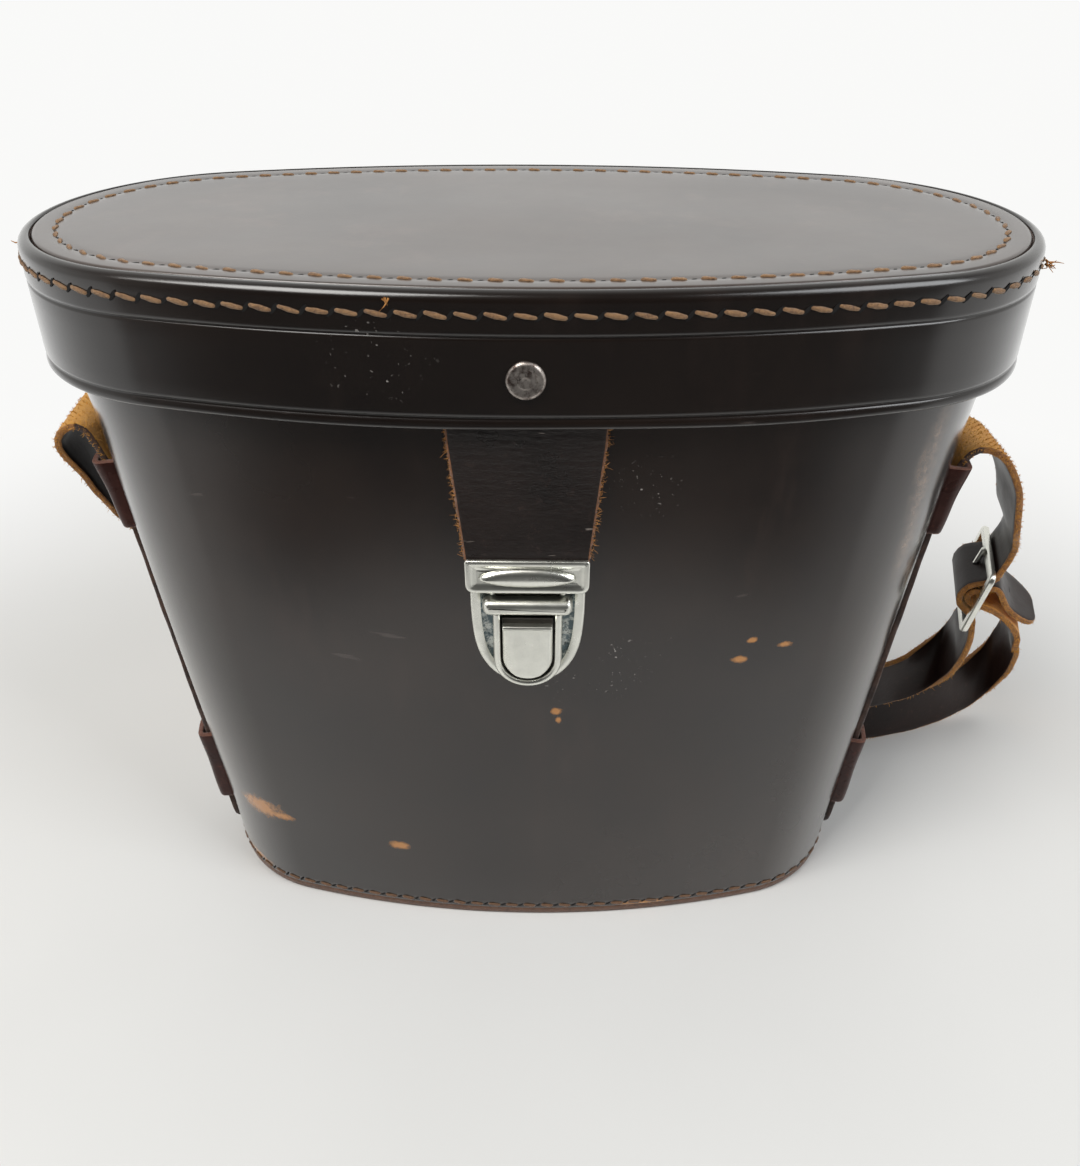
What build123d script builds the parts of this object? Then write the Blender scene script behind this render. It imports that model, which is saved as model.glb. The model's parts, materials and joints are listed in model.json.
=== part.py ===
from build123d import *
import math
import os

# Oval leather case with an overhanging hinged lid, a tuck lock and a
# shoulder strap. Millimetres. Z is up, the front faces -Y, the floor is z = 0.

# ---- driving dimensions -------------------------------------------------
BODY_H = 146.0            # floor to the lower edge of the lid band
FLATNESS = 8.0 / 62.0     # (half depth - end radius) / (half length - end radius)


def ends(a, b):
    """Half length, half depth and end radius of an oval of the case's family."""
    return (a, b, (b - FLATNESS * a) / (1 - FLATNESS))


BODY_FOOT = ends(82.5, 37.0)      # outside of the wall at z = 0
BODY_HEAD = ends(99.5, 45.5)      # outside of the wall at z = BODY_H
WALL = 3.0                # moulded leather wall
NECK_H = 12.0             # part of the body hidden inside the lid
BASE_FOOT = 5.5           # how far the base is set up from the floor
BASE_T = 2.5              # thickness of the base and of its turned-down flange
LINER_GAP = 1.2           # room for rivet heads between wall and liner
LINER_T = 1.3
LINER_LIP = 1.5           # height of the liner's top edge, which meets the wall
PAD_T = 3.0               # felt pad on the base

LID_H = 26.0
LID_LOW = ends(104.5, 50.5)       # outside of the lid band at its lower edge
LID_TOP = ends(105.0, 51.0)       # outside of the lid band at the very top
LID_WALL = 2.5
SHOULDER_R = 2.2          # rounded upper edge of the band
GROOVE = 0.4              # gap between the band and the inset panel
GROOVE_DEPTH = 1.6
PANEL_T = 2.0
FLANGE_LOW = 161.0        # lower edge of the panel's turned-down flange
BOARD_T = 1.5
FELT_T = 0.8

STRAP_W = 18.0            # shoulder strap
STRAP_T = 1.6
STRAP_OFF = 0.2           # strap to case wall
KEEPER_T = 1.4
KEEPER_SIDE = 0.4         # room beside the strap inside a keeper
KEEPER_SEAT = 2.2         # depth of the keeper's legs in the wall
UPPER_KEEPER = (101.5, 119.0, 1.5)   # low edge, high edge, room over the strap
LOWER_KEEPER = (15.5, 37.5, 0.2)
TAIL_LOW = 2.0            # end of the strap above the floor
TAIL_RIVET_Z = 27.0
TAIL_RIVET_R = 1.6
TAIL_BURR_R, TAIL_BURR_T = 2.8, 0.7

TAB_T = 1.6               # closure strap
TAB_HALF = (15.3, 12.2)   # half width at the lid and at the lock
TAB_TOP = 160.8
TAB_LOW = 110.5
TAB_CLEAR = 1.4           # room behind the strap for the hasp's tongue
RIVET_Z = 156.1
RIVET_HEAD_R = 3.65
RIVET_HEAD_T = 1.2
RIVET_SHANK_R = 1.5
BURR_R, BURR_T = 3.0, 0.8

LOCK_Z = 82.0             # lowest tip of the lock on the front wall
PLATE_T = 0.8
BUTTON_TRAVEL = 2.0
HINGE_HALF = 30.0         # half width of the back hinge leather
HINGE_LOW = 120.0

END_PARTS, FACE_PARTS = 24, 12    # parts that an oval's end and side arcs are cut in
FLATS_FROM = LID_WALL     # ovals set in this far or more have flats, not arcs

TOP = BODY_H + LID_H
SIDE_SLOPE = math.atan2(BODY_HEAD[0] - BODY_FOOT[0], BODY_H)
FRONT_SLOPE = math.atan2(BODY_HEAD[1] - BODY_FOOT[1], BODY_H)


# ---- helpers ------------------------------------------------------------
def arcs(centre, radius, start, span, parts):
    """An arc in equal parts, so that a tapered wall is many narrow cone strips."""
    step = span / parts
    return [CenterArc(centre, radius, start + step * i, step) for i in range(parts)]


def oval(size, z, inset=0.0):
    """Face of a four-arc oval at height z, set in by `inset` all round."""
    a, b, r = (v - inset for v in size)
    big = ((a - r) ** 2 + b * b - r * r) / (2 * (b - r))
    half = math.degrees(math.atan2(a - r, big - b))
    side = 90 - half
    edges = arcs((a - r, 0, z), r, -side, 2 * side, END_PARTS)
    edges += arcs((0, b - big, z), big, side, 2 * half, FACE_PARTS)
    edges += arcs((r - a, 0, z), r, 180 - side, 2 * side, END_PARTS)
    edges += arcs((0, big - b, z), big, 270 - half, 2 * half, FACE_PARTS)
    if inset >= FLATS_FROM:
        return Face(Wire(Polyline(*[edge @ 0 for edge in edges], close=True)))
    return Face(Wire(edges))


def tub(low, z0, high, z1, inset=0.0):
    return loft([oval(low, z0, inset), oval(high, z1, inset)], ruled=True)


def level(size, z0, z1, inset=0.0):
    return extrude(oval(size, z0, inset), z1 - z0, dir=(0, 0, 1))


def slab(z0, z1):
    return Pos(0, 0, (z0 + z1) / 2) * Box(400, 400, z1 - z0)


def block(x0, x1, y0, y1, z0, z1):
    size = (x1 - x0, y1 - y0, z1 - z0)
    mid = ((x0 + x1) / 2, (y0 + y1) / 2, (z0 + z1) / 2)
    return Pos(*mid) * Box(*size)


def body_at(z):
    t = z / BODY_H
    return tuple(p + (q - p) * t for p, q in zip(BODY_FOOT, BODY_HEAD))


def sag(radius, half):
    return radius - math.sqrt(radius * radius - half * half)


def section(mid, across, out, half, thick, bow=0.0, steps=4):
    """Cross section of a leather strip, bowed away from `out` at its edges."""
    pts = []
    for i in range(steps + 1):
        s = 2 * i / steps - 1
        pts.append(mid + across * (half * s) - out * (bow * s * s))
    pts += [p + out * thick for p in reversed(pts)]
    return Face(Wire(Polyline(*pts, close=True)))


def strip(stations, thick, steps=4):
    """Leather strip through (mid of inner face, across, out, half, bow)."""
    faces = [section(m, a, o, h, thick, b, steps) for m, a, o, h, b in stations]
    return loft(faces, ruled=True)


def mirrored(shape):
    return mirror(shape, about=Plane.YZ)


# ---- body: wall, base, liner --------------------------------------------
cavity = tub(BODY_FOOT, 0, BODY_HEAD, BODY_H, WALL)
body_shell = tub(BODY_FOOT, 0, BODY_HEAD, BODY_H) + level(BODY_HEAD, BODY_H, BODY_H + NECK_H)
body_shell = body_shell - cavity - level(BODY_HEAD, BODY_H, BODY_H + NECK_H, WALL)

base_top = BASE_FOOT + BASE_T
base_plate = (cavity & slab(0, base_top)) - (
    tub(BODY_FOOT, 0, BODY_HEAD, BODY_H, WALL + BASE_T) & slab(-1, BASE_FOOT))

liner_out = WALL + LINER_GAP
liner_top = BODY_H + NECK_H - 2.0
liner_outer = tub(BODY_FOOT, 0, BODY_HEAD, BODY_H, liner_out) + level(
    BODY_HEAD, BODY_H, liner_top, liner_out)
liner_inner = tub(BODY_FOOT, 0, BODY_HEAD, BODY_H, liner_out + LINER_T) + level(
    BODY_HEAD, BODY_H, liner_top, liner_out + LINER_T)
body_lining = (liner_outer - liner_inner) & slab(base_top, liner_top)
lip = level(BODY_HEAD, liner_top - LINER_LIP, liner_top, WALL) - level(
    BODY_HEAD, liner_top - 2, liner_top + 1, liner_out + LINER_T)
body_lining = body_lining + lip
base_pad = liner_inner & slab(base_top, base_top + PAD_T)

# ---- lid: band, inset panel, board, felt --------------------------------
lid_cavity = tub(LID_LOW, BODY_H, LID_TOP, TOP, LID_WALL)
shoulder = [(LID_TOP, TOP - SHOULDER_R, 0.0)]
for deg in (30, 60, 90):
    turn_in, rise = 1 - math.cos(math.radians(deg)), math.sin(math.radians(deg))
    shoulder.append((LID_TOP, TOP - SHOULDER_R * (1 - rise), SHOULDER_R * turn_in))
lid_band = tub(LID_LOW, BODY_H, LID_TOP, TOP - SHOULDER_R)
for (size, z0, in0), (_, z1, in1) in zip(shoulder, shoulder[1:]):
    lid_band = lid_band + loft([oval(size, z0, in0), oval(size, z1, in1)], ruled=True)
lid_band = lid_band - lid_cavity
panel_step = TOP - GROOVE_DEPTH
lid_panel = (lid_cavity & slab(FLANGE_LOW, panel_step)) + level(
    LID_TOP, panel_step, TOP, LID_WALL + GROOVE)
under_panel = TOP - PANEL_T
lid_panel = lid_panel - level(LID_LOW, FLANGE_LOW - 1, under_panel, LID_WALL + PANEL_T)
inside = LID_WALL + PANEL_T
lid_board = level(LID_LOW, under_panel - BOARD_T, under_panel, inside)
felt_top = under_panel - BOARD_T
lid_felt = level(LID_LOW, FLANGE_LOW, felt_top, inside) - level(
    LID_LOW, FLANGE_LOW - 1, felt_top - FELT_T, inside + FELT_T)

# ---- hinge leather at the back ------------------------------------------
hinge_off = LID_WALL + 0.03
hinge_ring = tub(LID_LOW, BODY_H, LID_TOP, TOP, hinge_off) - tub(
    LID_LOW, BODY_H, LID_TOP, TOP, hinge_off + TAB_T)
lid_hinge_leaf = hinge_ring & block(-HINGE_HALF, HINGE_HALF, 20, 60, BODY_H + 0.1, TAB_TOP)
skin = 0.05
outer_tub = tub(BODY_FOOT, 0, BODY_HEAD, BODY_H, -(skin + TAB_T)) - tub(
    BODY_FOOT, 0, BODY_HEAD, BODY_H, -skin)
body_hinge_leaf = outer_tub & block(
    -HINGE_HALF, HINGE_HALF, 20, 60, HINGE_LOW, BODY_H - 0.1)

# ---- closure strap on the front -----------------------------------------
across_x = Vector(1, 0, 0)
front_in = Vector(0, -1, 0)
front_out = Vector(0, -math.cos(FRONT_SLOPE), -math.sin(FRONT_SLOPE))


def front_y(z):
    return -body_at(z)[1]


def tab_station(z, off, half, bow, out):
    return (Vector(0, front_y(min(z, BODY_H)) - off, z), across_x, out, half, bow)


tab_gap = LID_LOW[1] - LID_WALL - TAB_T - BODY_HEAD[1] - 0.06
wide, narrow = TAB_HALF
tab_low_gap = TAB_CLEAR / math.cos(FRONT_SLOPE)
closure_strap = strip([
    tab_station(TAB_TOP, tab_gap, wide, 0.46, front_in),
    tab_station(BODY_H, tab_gap, wide, 0.46, front_in),
    tab_station(BODY_H - 4, tab_gap + 0.1, wide - 0.2, 0.3, front_out),
    tab_station(118, tab_low_gap, narrow + 0.5, 0.0, front_out),
    tab_station(TAB_LOW, tab_low_gap, narrow, 0.0, front_out),
], TAB_T)

band_y = -(LID_LOW[1] + (LID_TOP[1] - LID_LOW[1]) * (RIVET_Z - BODY_H) / LID_H)
strap_back = front_y(BODY_H) - tab_gap
rivet_shank = Pos(0, (band_y + strap_back) / 2, RIVET_Z) * Rot(90, 0, 0) * Cylinder(
    RIVET_SHANK_R, abs(band_y - strap_back) + 0.6)
rivet_dome = Pos(0, band_y - 0.1, RIVET_Z) * Rot(90, 0, 0) * Cylinder(
    RIVET_HEAD_R, RIVET_HEAD_T)
rivet_dome = chamfer(rivet_dome.edges().sort_by(Axis.Y)[0], 0.7, 1.4)
rivet_space = block(-5, 5, band_y - 5, strap_back - BURR_T, RIVET_Z - 5, RIVET_Z + 5)
lid_rivet = (rivet_shank & rivet_space) + rivet_dome
lid_rivet_burr = Pos(0, strap_back - BURR_T / 2, RIVET_Z) * Rot(90, 0, 0) * Cylinder(BURR_R, BURR_T)
lid_band = lid_band - lid_rivet
burr_seat = Pos(0, strap_back + 0.2, RIVET_Z) * Rot(90, 0, 0) * Cylinder(BURR_R, 2 * BURR_T + 0.4)
closure_strap = closure_strap - rivet_shank - burr_seat

# ---- tuck lock, in a frame lying on the front wall ----------------------
face = Plane(origin=(0, front_y(LOCK_Z), LOCK_Z), x_dir=(1, 0, 0),
             z_dir=(0, -math.cos(FRONT_SLOPE), -math.sin(FRONT_SLOPE)))


def on_face(shape):
    return face.location * shape


def plate(profile, n0, n1):
    return extrude(Pos(0, 0, n0) * profile, n1 - n0, dir=(0, 0, 1))


def tongue_shape(half, low, high):
    """Straight sides with a half-round lower end."""
    return Pos(0, (low + half + high) / 2) * Rectangle(2 * half, high - low - half) + Pos(
        0, low + half) * Circle(half)


SEAT = -0.3               # the lock's plate is let into the leather by this much
BASE_N = SEAT + PLATE_T
shield = Polygon((0, 0), (5.5, 1.2), (9.2, 5.2), (11.2, 11.0), (11.9, 19.0), (11.9, 27.0),
                 (-11.9, 27.0), (-11.9, 19.0), (-11.2, 11.0), (-9.2, 5.2), (-5.5, 1.2),
                 align=None)
RIM_TOP = 20.3            # top of the U-shaped cover, lower edge of the bar
COVER_N = 3.4
COVER_HALF, WINDOW_HALF, SLIDER_HALF, KNOB_HALF = 6.7, 4.9, 5.6, 4.7
BAR_SIZE = (17.8, 4.0)    # rounded bar that the tongue goes behind
BAR_N = 4.1
lock_base = plate(shield, SEAT, BASE_N) + plate(
    Pos(0, 7.5) * Rectangle(2.8, 1.8), BASE_N - 0.1, 3.3)
cover = plate(tongue_shape(COVER_HALF, 1.0, RIM_TOP), BASE_N, COVER_N)
cover = cover - plate(tongue_shape(SLIDER_HALF + 0.2, 1.9, RIM_TOP + 1), BASE_N - 1, 2.1)
cover = cover - plate(tongue_shape(WINDOW_HALF, 3.0, RIM_TOP + 1), 1.5, COVER_N + 1)
bar_at = Pos(0, RIM_TOP + BAR_SIZE[1] / 2)
bar = plate(bar_at * Rectangle(*BAR_SIZE), BASE_N, BAR_N)
bar = fillet(bar.edges().filter_by(Axis.Z).group_by(Axis.Y)[0], 1.2)
bar = bar - plate(bar_at * Rectangle(BAR_SIZE[0] - 3.0, 6.0), 0, 2.5)
lock_cover = cover + bar

slider = plate(tongue_shape(SLIDER_HALF, 4.1, 20.0), BASE_N + 0.1, 1.95)
knob = plate(tongue_shape(KNOB_HALF, 5.1, 18.5), 1.9, 4.6)
knob = chamfer(knob.faces().sort_by(Axis.Z)[-1].edges(), 0.8)
knob = knob + plate(Pos(0, 17.6) * Rectangle(9.2, 1.3), 4.0, 5.2)
nose = plate(Pos(0, 21.0) * Rectangle(4.0, 2.8), BASE_N + 0.1, 1.9)
pocket = plate(Pos(0, 11.25) * Rectangle(3.4, 9.5), BASE_N - 1, 3.8)
lock_button = slider + knob + nose - pocket

SPRING_LOW, SPRING_HIGH = 8.5, 15.9
wire = 0.25
COIL_TURNS, COIL_R = 3, 1.1
coil_run = SPRING_HIGH - SPRING_LOW - 2 * wire
coil = Helix(pitch=coil_run / COIL_TURNS, height=coil_run, radius=COIL_R)
coil_end = Plane(origin=coil @ 0, z_dir=coil % 0)
lock_spring = sweep(coil_end * RegularPolygon(wire, 4), path=coil)
lock_spring = Pos(0, SPRING_LOW + wire, 2.05) * Rot(-90, 0, 0) * lock_spring

HASP_LOW = 26.3
HASP_W, HASP_H = 24.5, 8.0
HASP_N = 3.0
TONGUE_N = 0.6
hasp_at = Pos(0, HASP_LOW + HASP_H / 2)
hasp_plate = plate(hasp_at * Rectangle(HASP_W, HASP_H), HASP_N, HASP_N + PLATE_T)
hasp_plate = chamfer(hasp_plate.edges().filter_by(Axis.Z).group_by(Axis.Y)[0], 1.6)
ridge = plate(hasp_at * SlotOverall(18.4, 4.6), HASP_N + PLATE_T, 4.4)
ridge = chamfer(ridge.faces().sort_by(Axis.Z)[-1].edges(), 0.4)
fold = plate(Pos(0, HASP_LOW + 1.0) * Rectangle(16, 1.2), TONGUE_N + PLATE_T, HASP_N + 0.1)
hasp_plate = hasp_plate + ridge + fold
hasp_tongue = plate(Pos(0, 27.6) * Rectangle(13.6, 9.6), TONGUE_N, TONGUE_N + PLATE_T) + plate(
    Pos(0, 31.5) * Rectangle(22.0, 5.0), TONGUE_N, TONGUE_N + PLATE_T)
hasp_tongue = chamfer(hasp_tongue.edges().filter_by(Axis.Z).group_by(Axis.Y)[0], 1.5)
pin_marks = [Pos(s * 6.5, HASP_LOW + 5.5) * Circle(0.8) for s in (-1, 1)]
hasp_pins = [plate(mark, TONGUE_N + PLATE_T, HASP_N) for mark in pin_marks]

lock_base, lock_cover, lock_button, lock_spring = map(
    on_face, (lock_base, lock_cover, lock_button, lock_spring))
hasp_plate, hasp_tongue = map(on_face, (hasp_plate, hasp_tongue))
hasp_pin_left, hasp_pin_right = map(on_face, hasp_pins)
for mark in pin_marks:
    closure_strap = closure_strap - on_face(plate(mark, 1.0, 3.4))

lock_backplate = on_face(plate(Pos(0, 12.5) * Rectangle(19, 17), -WALL - 1.1, -WALL - 0.3))
lock_rivets = [on_face(plate(Pos(s * 8.0, 14.5) * Circle(1.1), -WALL - 0.3, SEAT)) for s in (-1, 1)]
lock_rivet_left, lock_rivet_right = lock_rivets
lock_seat = on_face(plate(offset(shield, 0.15, kind=Kind.INTERSECTION), SEAT, 3))
body_shell = body_shell - lock_seat - lock_rivet_left - lock_rivet_right

# ---- keepers and strap tails on the sides -------------------------------
side_up = Vector(-math.sin(SIDE_SLOPE), 0, math.cos(SIDE_SLOPE))
side_out = Vector(-math.cos(SIDE_SLOPE), 0, -math.sin(SIDE_SLOPE))
along_y = Vector(0, 1, 0)


def side_point(z, off):
    return Vector(-body_at(z)[0], 0, z) + side_out * off


def keeper(low, high, room):
    """Loop over the strap with two legs sunk in the wall."""
    bow = sag(body_at((low + high) / 2)[2], STRAP_W / 2)
    inner = STRAP_W / 2 + KEEPER_SIDE
    outer = inner + KEEPER_T
    roof = STRAP_OFF + STRAP_T + room
    foot = -bow - 0.9 - KEEPER_SEAT

    def arch(half, top):
        pts = [(-half, foot)]
        pts += [(half * s / 3, top - bow * (s / 3) ** 2) for s in range(-3, 4)]
        return pts + [(half, foot)]
    pts = arch(outer, roof + KEEPER_T) + arch(inner, roof)[::-1]
    plane = Plane(origin=side_point(low, 0), x_dir=(0, 1, 0), z_dir=side_up)
    flip = 1 if plane.y_dir.dot(side_out) > 0 else -1
    profile = Polygon(*[(x * flip, y * flip) for x, y in pts], align=None)
    rise = (high - low) / math.cos(SIDE_SLOPE)
    return extrude(plane * profile, rise, dir=side_up)


upper_keeper_left = keeper(*UPPER_KEEPER)
lower_keeper_left = keeper(*LOWER_KEEPER)
upper_keeper_right = mirrored(upper_keeper_left)
lower_keeper_right = mirrored(lower_keeper_left)

rivet_frame = Plane(origin=side_point(TAIL_RIVET_Z, 0), x_dir=(0, 1, 0), z_dir=side_out)
tail_shank = extrude(rivet_frame.offset(-WALL) * Circle(TAIL_RIVET_R),
                     WALL + STRAP_OFF + STRAP_T, dir=side_out)
tail_burr = extrude(rivet_frame.offset(-WALL - TAIL_BURR_T) * Circle(TAIL_BURR_R), TAIL_BURR_T,
                    dir=side_out)
tail_rivet_left = tail_shank + tail_burr
tail_rivet_right = mirrored(tail_rivet_left)

cut = [upper_keeper_left, lower_keeper_left, tail_rivet_left,
       upper_keeper_right, lower_keeper_right, tail_rivet_right]
for piece in cut:
    body_shell = body_shell - piece

# ---- buckle: a frame with a middle bar, set in its own plane ------------
BUCKLE_AT = (118.15, 14.0, 73.45)
BUCKLE_ACROSS = (0.226, 0.968, 0.097)     # along the bars
BUCKLE_DOWN = (-0.146, 0.2, -0.97)        # from the upper bar to the lower one
BUCKLE_W, BUCKLE_L = 24.8, 20.0
BAR_W, BAR_T = 2.2, 1.6
MIDDLE_BAR_W = 1.8
PRONG_R = 0.7
EYE_R, EYE_HOLE_R = 2.75, 1.4
TAIL_HOLE_R = 1.3

b_at = Vector(*BUCKLE_AT)
b_w = Vector(*BUCKLE_ACROSS).normalized()
b_e = Vector(*BUCKLE_DOWN)
b_e = (b_e - b_w * b_e.dot(b_w)).normalized()
b_n = b_w.cross(b_e)
BAR_U = BUCKLE_L / 2 - BAR_W / 2          # bar centre lines from the middle


def fr(u, n, w=0.0):
    """Point in buckle coordinates: down the frame, off its face, along a bar."""
    return b_at + b_e * u + b_n * n + b_w * w


def is_outer(edge):
    return abs((edge @ 0.5 - b_at).dot(b_e)) > BUCKLE_L / 2 - 0.1


buckle_plane = Plane(origin=b_at, x_dir=b_w, z_dir=b_n)
frame_sketch = RectangleRounded(BUCKLE_W, BUCKLE_L, 2.2) - Rectangle(
    BUCKLE_W - 2 * BAR_W, BUCKLE_L - 2 * BAR_W) + Rectangle(BUCKLE_W - 1, MIDDLE_BAR_W)
buckle_frame = extrude(buckle_plane.offset(-BAR_T / 2) * frame_sketch, BAR_T, dir=b_n)
buckle_frame = chamfer(buckle_frame.edges().filter_by(
    lambda e: abs((e % 0.5).dot(b_n)) < 0.1 and e.length > 20 and is_outer(e)), 0.3)

# ---- shoulder strap: two leathers, each run through a few knots ----------
# knot: middle of the leather, direction across it from near edge to far edge
W = tuple(b_w)
LEFT_RUN = [
    ((-101, 0, 126.0), (0, 1, 0)), ((-105.6, 0.4, 126.4), (0, 1, 0.08)),
    ((-108.2, 1, 122), (0, 1, 0.1)), ((-105.5, 3.6, 113), (0, 1, 0.05)),
    ((-100.5, 11, 97), (0.1, 1, 0.1)), ((-92, 22, 78), (0.2, 1, 0.4)),
    ((-78, 32, 56), (0.3, 0.6, 0.8)), ((-55, 39, 34), (0.2, 0.2, 1)),
    ((-25, 43, 17), (0, 0, 1)), ((12, 42.5, 9.3), (0, 0, 1)),
    ((50, 36, 9.2), (0, 0, 1)), ((84, 30, 9.2), (0, 0, 1)),
    ((106, 33.7, 9.2), (0, 0, 1)), ((128, 41.3, 9.4), (0, 0.05, 1)),
    ((143.5, 50, 13), (0, 0.35, 1)), ((149, 49, 24), (0, 0.75, 0.85)),
    ((146, 41, 37), (0.1, 1, 0.4)), ((138.5, 27, 48.5), (0.2, 1, 0.1)),
    (tuple(fr(12.9, -15.5)), W), (tuple(fr(9.5, -14.8)), W), (tuple(fr(6.7, -12.7)), W),
    (tuple(fr(3.9, -8.7)), W), (tuple(fr(2.4, -4.1)), W),
]
RIGHT_RUN = [
    ((99.8, 0, 121.4), (0, 1, 0)), ((103.6, 0, 122.4), (0, 1, 0)),
    ((108.6, 0.2, 119.4), (0, 1, 0)), ((113.8, 0.6, 111), (0.05, 1, 0)),
    ((117.2, 3, 100), (0.1, 1, 0.05)), (tuple(fr(-16, -2.4)), W),
    (tuple(fr(-BAR_U, -2.0)), W), (tuple(fr(-6.8, -1.6)), W), (tuple(fr(-5, 0.6)), W),
    (tuple(fr(-3.3, 3.2)), W), (tuple(fr(0, 4.3)), W), (tuple(fr(3.3, 3.2)), W),
    (tuple(fr(5, 0.6)), W), (tuple(fr(6.8, -1.6)), W), (tuple(fr(BAR_U + 0.5, -2.6)), W),
    (tuple(fr(14.1, -4.0)), W), (tuple(fr(19.5, -4.0)), (0.2, 0.9, 0.4)),
    ((120.5, 27.5, 38), (0.1, 0.4, 0.9)),
    ((110, 28, 28.6), (0, -0.1, 1)), ((98, 24.5, 27.9), (0, -0.2, 1)),
    ((84, 27, 27.8), (0, -0.1, 1)), ((65, 36.5, 27.8), (0, 0, 1)), ((44, 41, 27.8), (0, 0, 1)),
]


def curve(knots, per=2):
    """Smooth run of (point, across) through the knots."""
    pts = [Vector(*k[0]) for k in knots]
    acr = [Vector(*k[1]).normalized() for k in knots]
    run = []
    last = len(pts) - 1
    for i in range(last):
        p0, p1, p2, p3 = pts[max(i - 1, 0)], pts[i], pts[i + 1], pts[min(i + 2, last)]
        for j in range(per):
            t = j / per
            p = (p1 * 2 + (p2 - p0) * t + (p0 * 2 - p1 * 5 + p2 * 4 - p3) * t ** 2
                 + (p1 * 3 - p0 - p2 * 3 + p3) * t ** 3) * 0.5
            run.append((p, (acr[i] * (1 - t) + acr[i + 1] * t).normalized()))
    return run + [(pts[last], acr[last])]


def leather(run, half_at, out0):
    """Strip round a centre line; `half_at` gives half width by index."""
    stations, out_before = [], out0
    for i, (p, a) in enumerate(run):
        q0, q1 = run[max(i - 1, 0)][0], run[min(i + 1, len(run) - 1)][0]
        out = a.cross(q1 - q0).normalized()
        out = out if out.dot(out_before) > 0 else -out
        out_before = out
        stations.append((p - out * (STRAP_T / 2), a, out, half_at(i, len(run)), 0.0))
    return stations


def side_run(sign):
    """Stations hugging the side of the case from the tail to the upper keeper."""
    out = Vector(side_out.X * -sign, 0, side_out.Z)
    found = []
    for z, part in ((TAIL_LOW, 0.45), (TAIL_LOW + 1.6, 0.8), (TAIL_LOW + 4.5, 0.97),
                    (TAIL_LOW + 8, 1), (UPPER_KEEPER[0], 1)):
        half = STRAP_W / 2 * part
        mid = Vector(sign * body_at(z)[0], 0, z) + out * STRAP_OFF
        found.append((mid, along_y, out, half, sag(body_at(z)[2], half)))
    return found + [top_station(sign)]


def top_station(sign):
    """Flat cross section inside the upper keeper, where the strap leaves the case."""
    out = Vector(side_out.X * -sign, 0, side_out.Z)
    z = UPPER_KEEPER[1] - 2
    return (Vector(sign * body_at(z)[0], 0, z) + out * STRAP_OFF, along_y, out, STRAP_W / 2, 0.0)


def rounded_end(i, count):
    return STRAP_W / 2 * {count - 1: 0.5, count - 2: 0.88}.get(i, 1.0)


turn = STRAP_T / 2 + 1.5
wrap = [(fr(turn * math.cos(a), turn * math.sin(a)), b_w)
        for a in (math.pi * k / 6 for k in range(7))]
tip = [(fr(*un), b_w) for un in (
    (-3.9, -1.9), (-4.2, -3.6), (-2.8, -5.3), (-0.6, -7.1), (1.3, -9.2), (3.0, -12.8),
    (4.4, -16.2), (4.8, -17.5))]
left_run = curve(LEFT_RUN) + wrap + tip
strap_left = strip(side_run(-1), STRAP_T) + strip(
    [top_station(-1)] + leather(left_run, rounded_end, side_out), STRAP_T, 1)
right_out = Vector(-side_out.X, 0, side_out.Z)
strap_right = strip(side_run(1), STRAP_T) + strip(
    [top_station(1)] + leather(curve(RIGHT_RUN), rounded_end, right_out), STRAP_T, 1)

# prong: an eye round the middle bar and a rod lying on the upper one
eye_plane = Plane(origin=fr(0, 0, -PRONG_R), x_dir=b_e, z_dir=b_w)
eye = extrude(eye_plane * (Circle(EYE_R) - Circle(EYE_HOLE_R)), 2 * PRONG_R, dir=b_w)
rod_from, rod_to = fr(0, EYE_R - PRONG_R), fr(-BAR_U - 0.8, BAR_T / 2 + PRONG_R)
rod_plane = Plane(origin=rod_from, z_dir=(rod_to - rod_from).normalized())
rod = extrude(rod_plane * Circle(PRONG_R), (rod_to - rod_from).length)
buckle_prong = eye + rod


def buckle_box(u0, u1, n0, n1, half):
    mid = fr((u0 + u1) / 2, (n0 + n1) / 2, 0)
    return Plane(origin=mid, x_dir=b_w, z_dir=b_n).location * Box(2 * half, u1 - u0, n1 - n0)


strap_left = strap_left - buckle_box(-3.5, 3.5, -3, 3.5, 1.0)
strap_right = strap_right - buckle_box(-7.4, -1.4, -2.0, 5.5, 1.0)
hole_out = (b_e * -0.85 - b_n * 0.52).normalized()
hole_at = Plane(origin=fr(1.7, -10.0), x_dir=b_w, z_dir=hole_out)
strap_left = strap_left - extrude(hole_at * Circle(TAIL_HOLE_R), 2.0, dir=hole_out, both=True)
strap_left = strap_left - tail_rivet_left
strap_right = strap_right - tail_rivet_right

# ---- hand over: one file per piece --------------------------------------
pieces = dict(
    body_shell=body_shell, base_plate=base_plate, base_pad=base_pad,
    body_lining=body_lining, body_hinge_leaf=body_hinge_leaf,
    lid_band=lid_band, lid_panel=lid_panel, lid_board=lid_board, lid_felt=lid_felt,
    lid_hinge_leaf=lid_hinge_leaf, lid_rivet=lid_rivet, lid_rivet_burr=lid_rivet_burr,
    closure_strap=closure_strap, hasp_plate=hasp_plate, hasp_tongue=hasp_tongue,
    hasp_pin_left=hasp_pin_left, hasp_pin_right=hasp_pin_right,
    lock_base=lock_base, lock_cover=lock_cover, lock_button=lock_button,
    lock_spring=lock_spring, lock_backplate=lock_backplate,
    lock_rivet_left=lock_rivet_left, lock_rivet_right=lock_rivet_right,
    upper_keeper_left=upper_keeper_left, upper_keeper_right=upper_keeper_right,
    lower_keeper_left=lower_keeper_left, lower_keeper_right=lower_keeper_right,
    tail_rivet_left=tail_rivet_left, tail_rivet_right=tail_rivet_right,
    strap_left=strap_left, strap_right=strap_right,
    buckle_frame=buckle_frame, buckle_prong=buckle_prong,
)
os.makedirs("parts", exist_ok=True)
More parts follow.
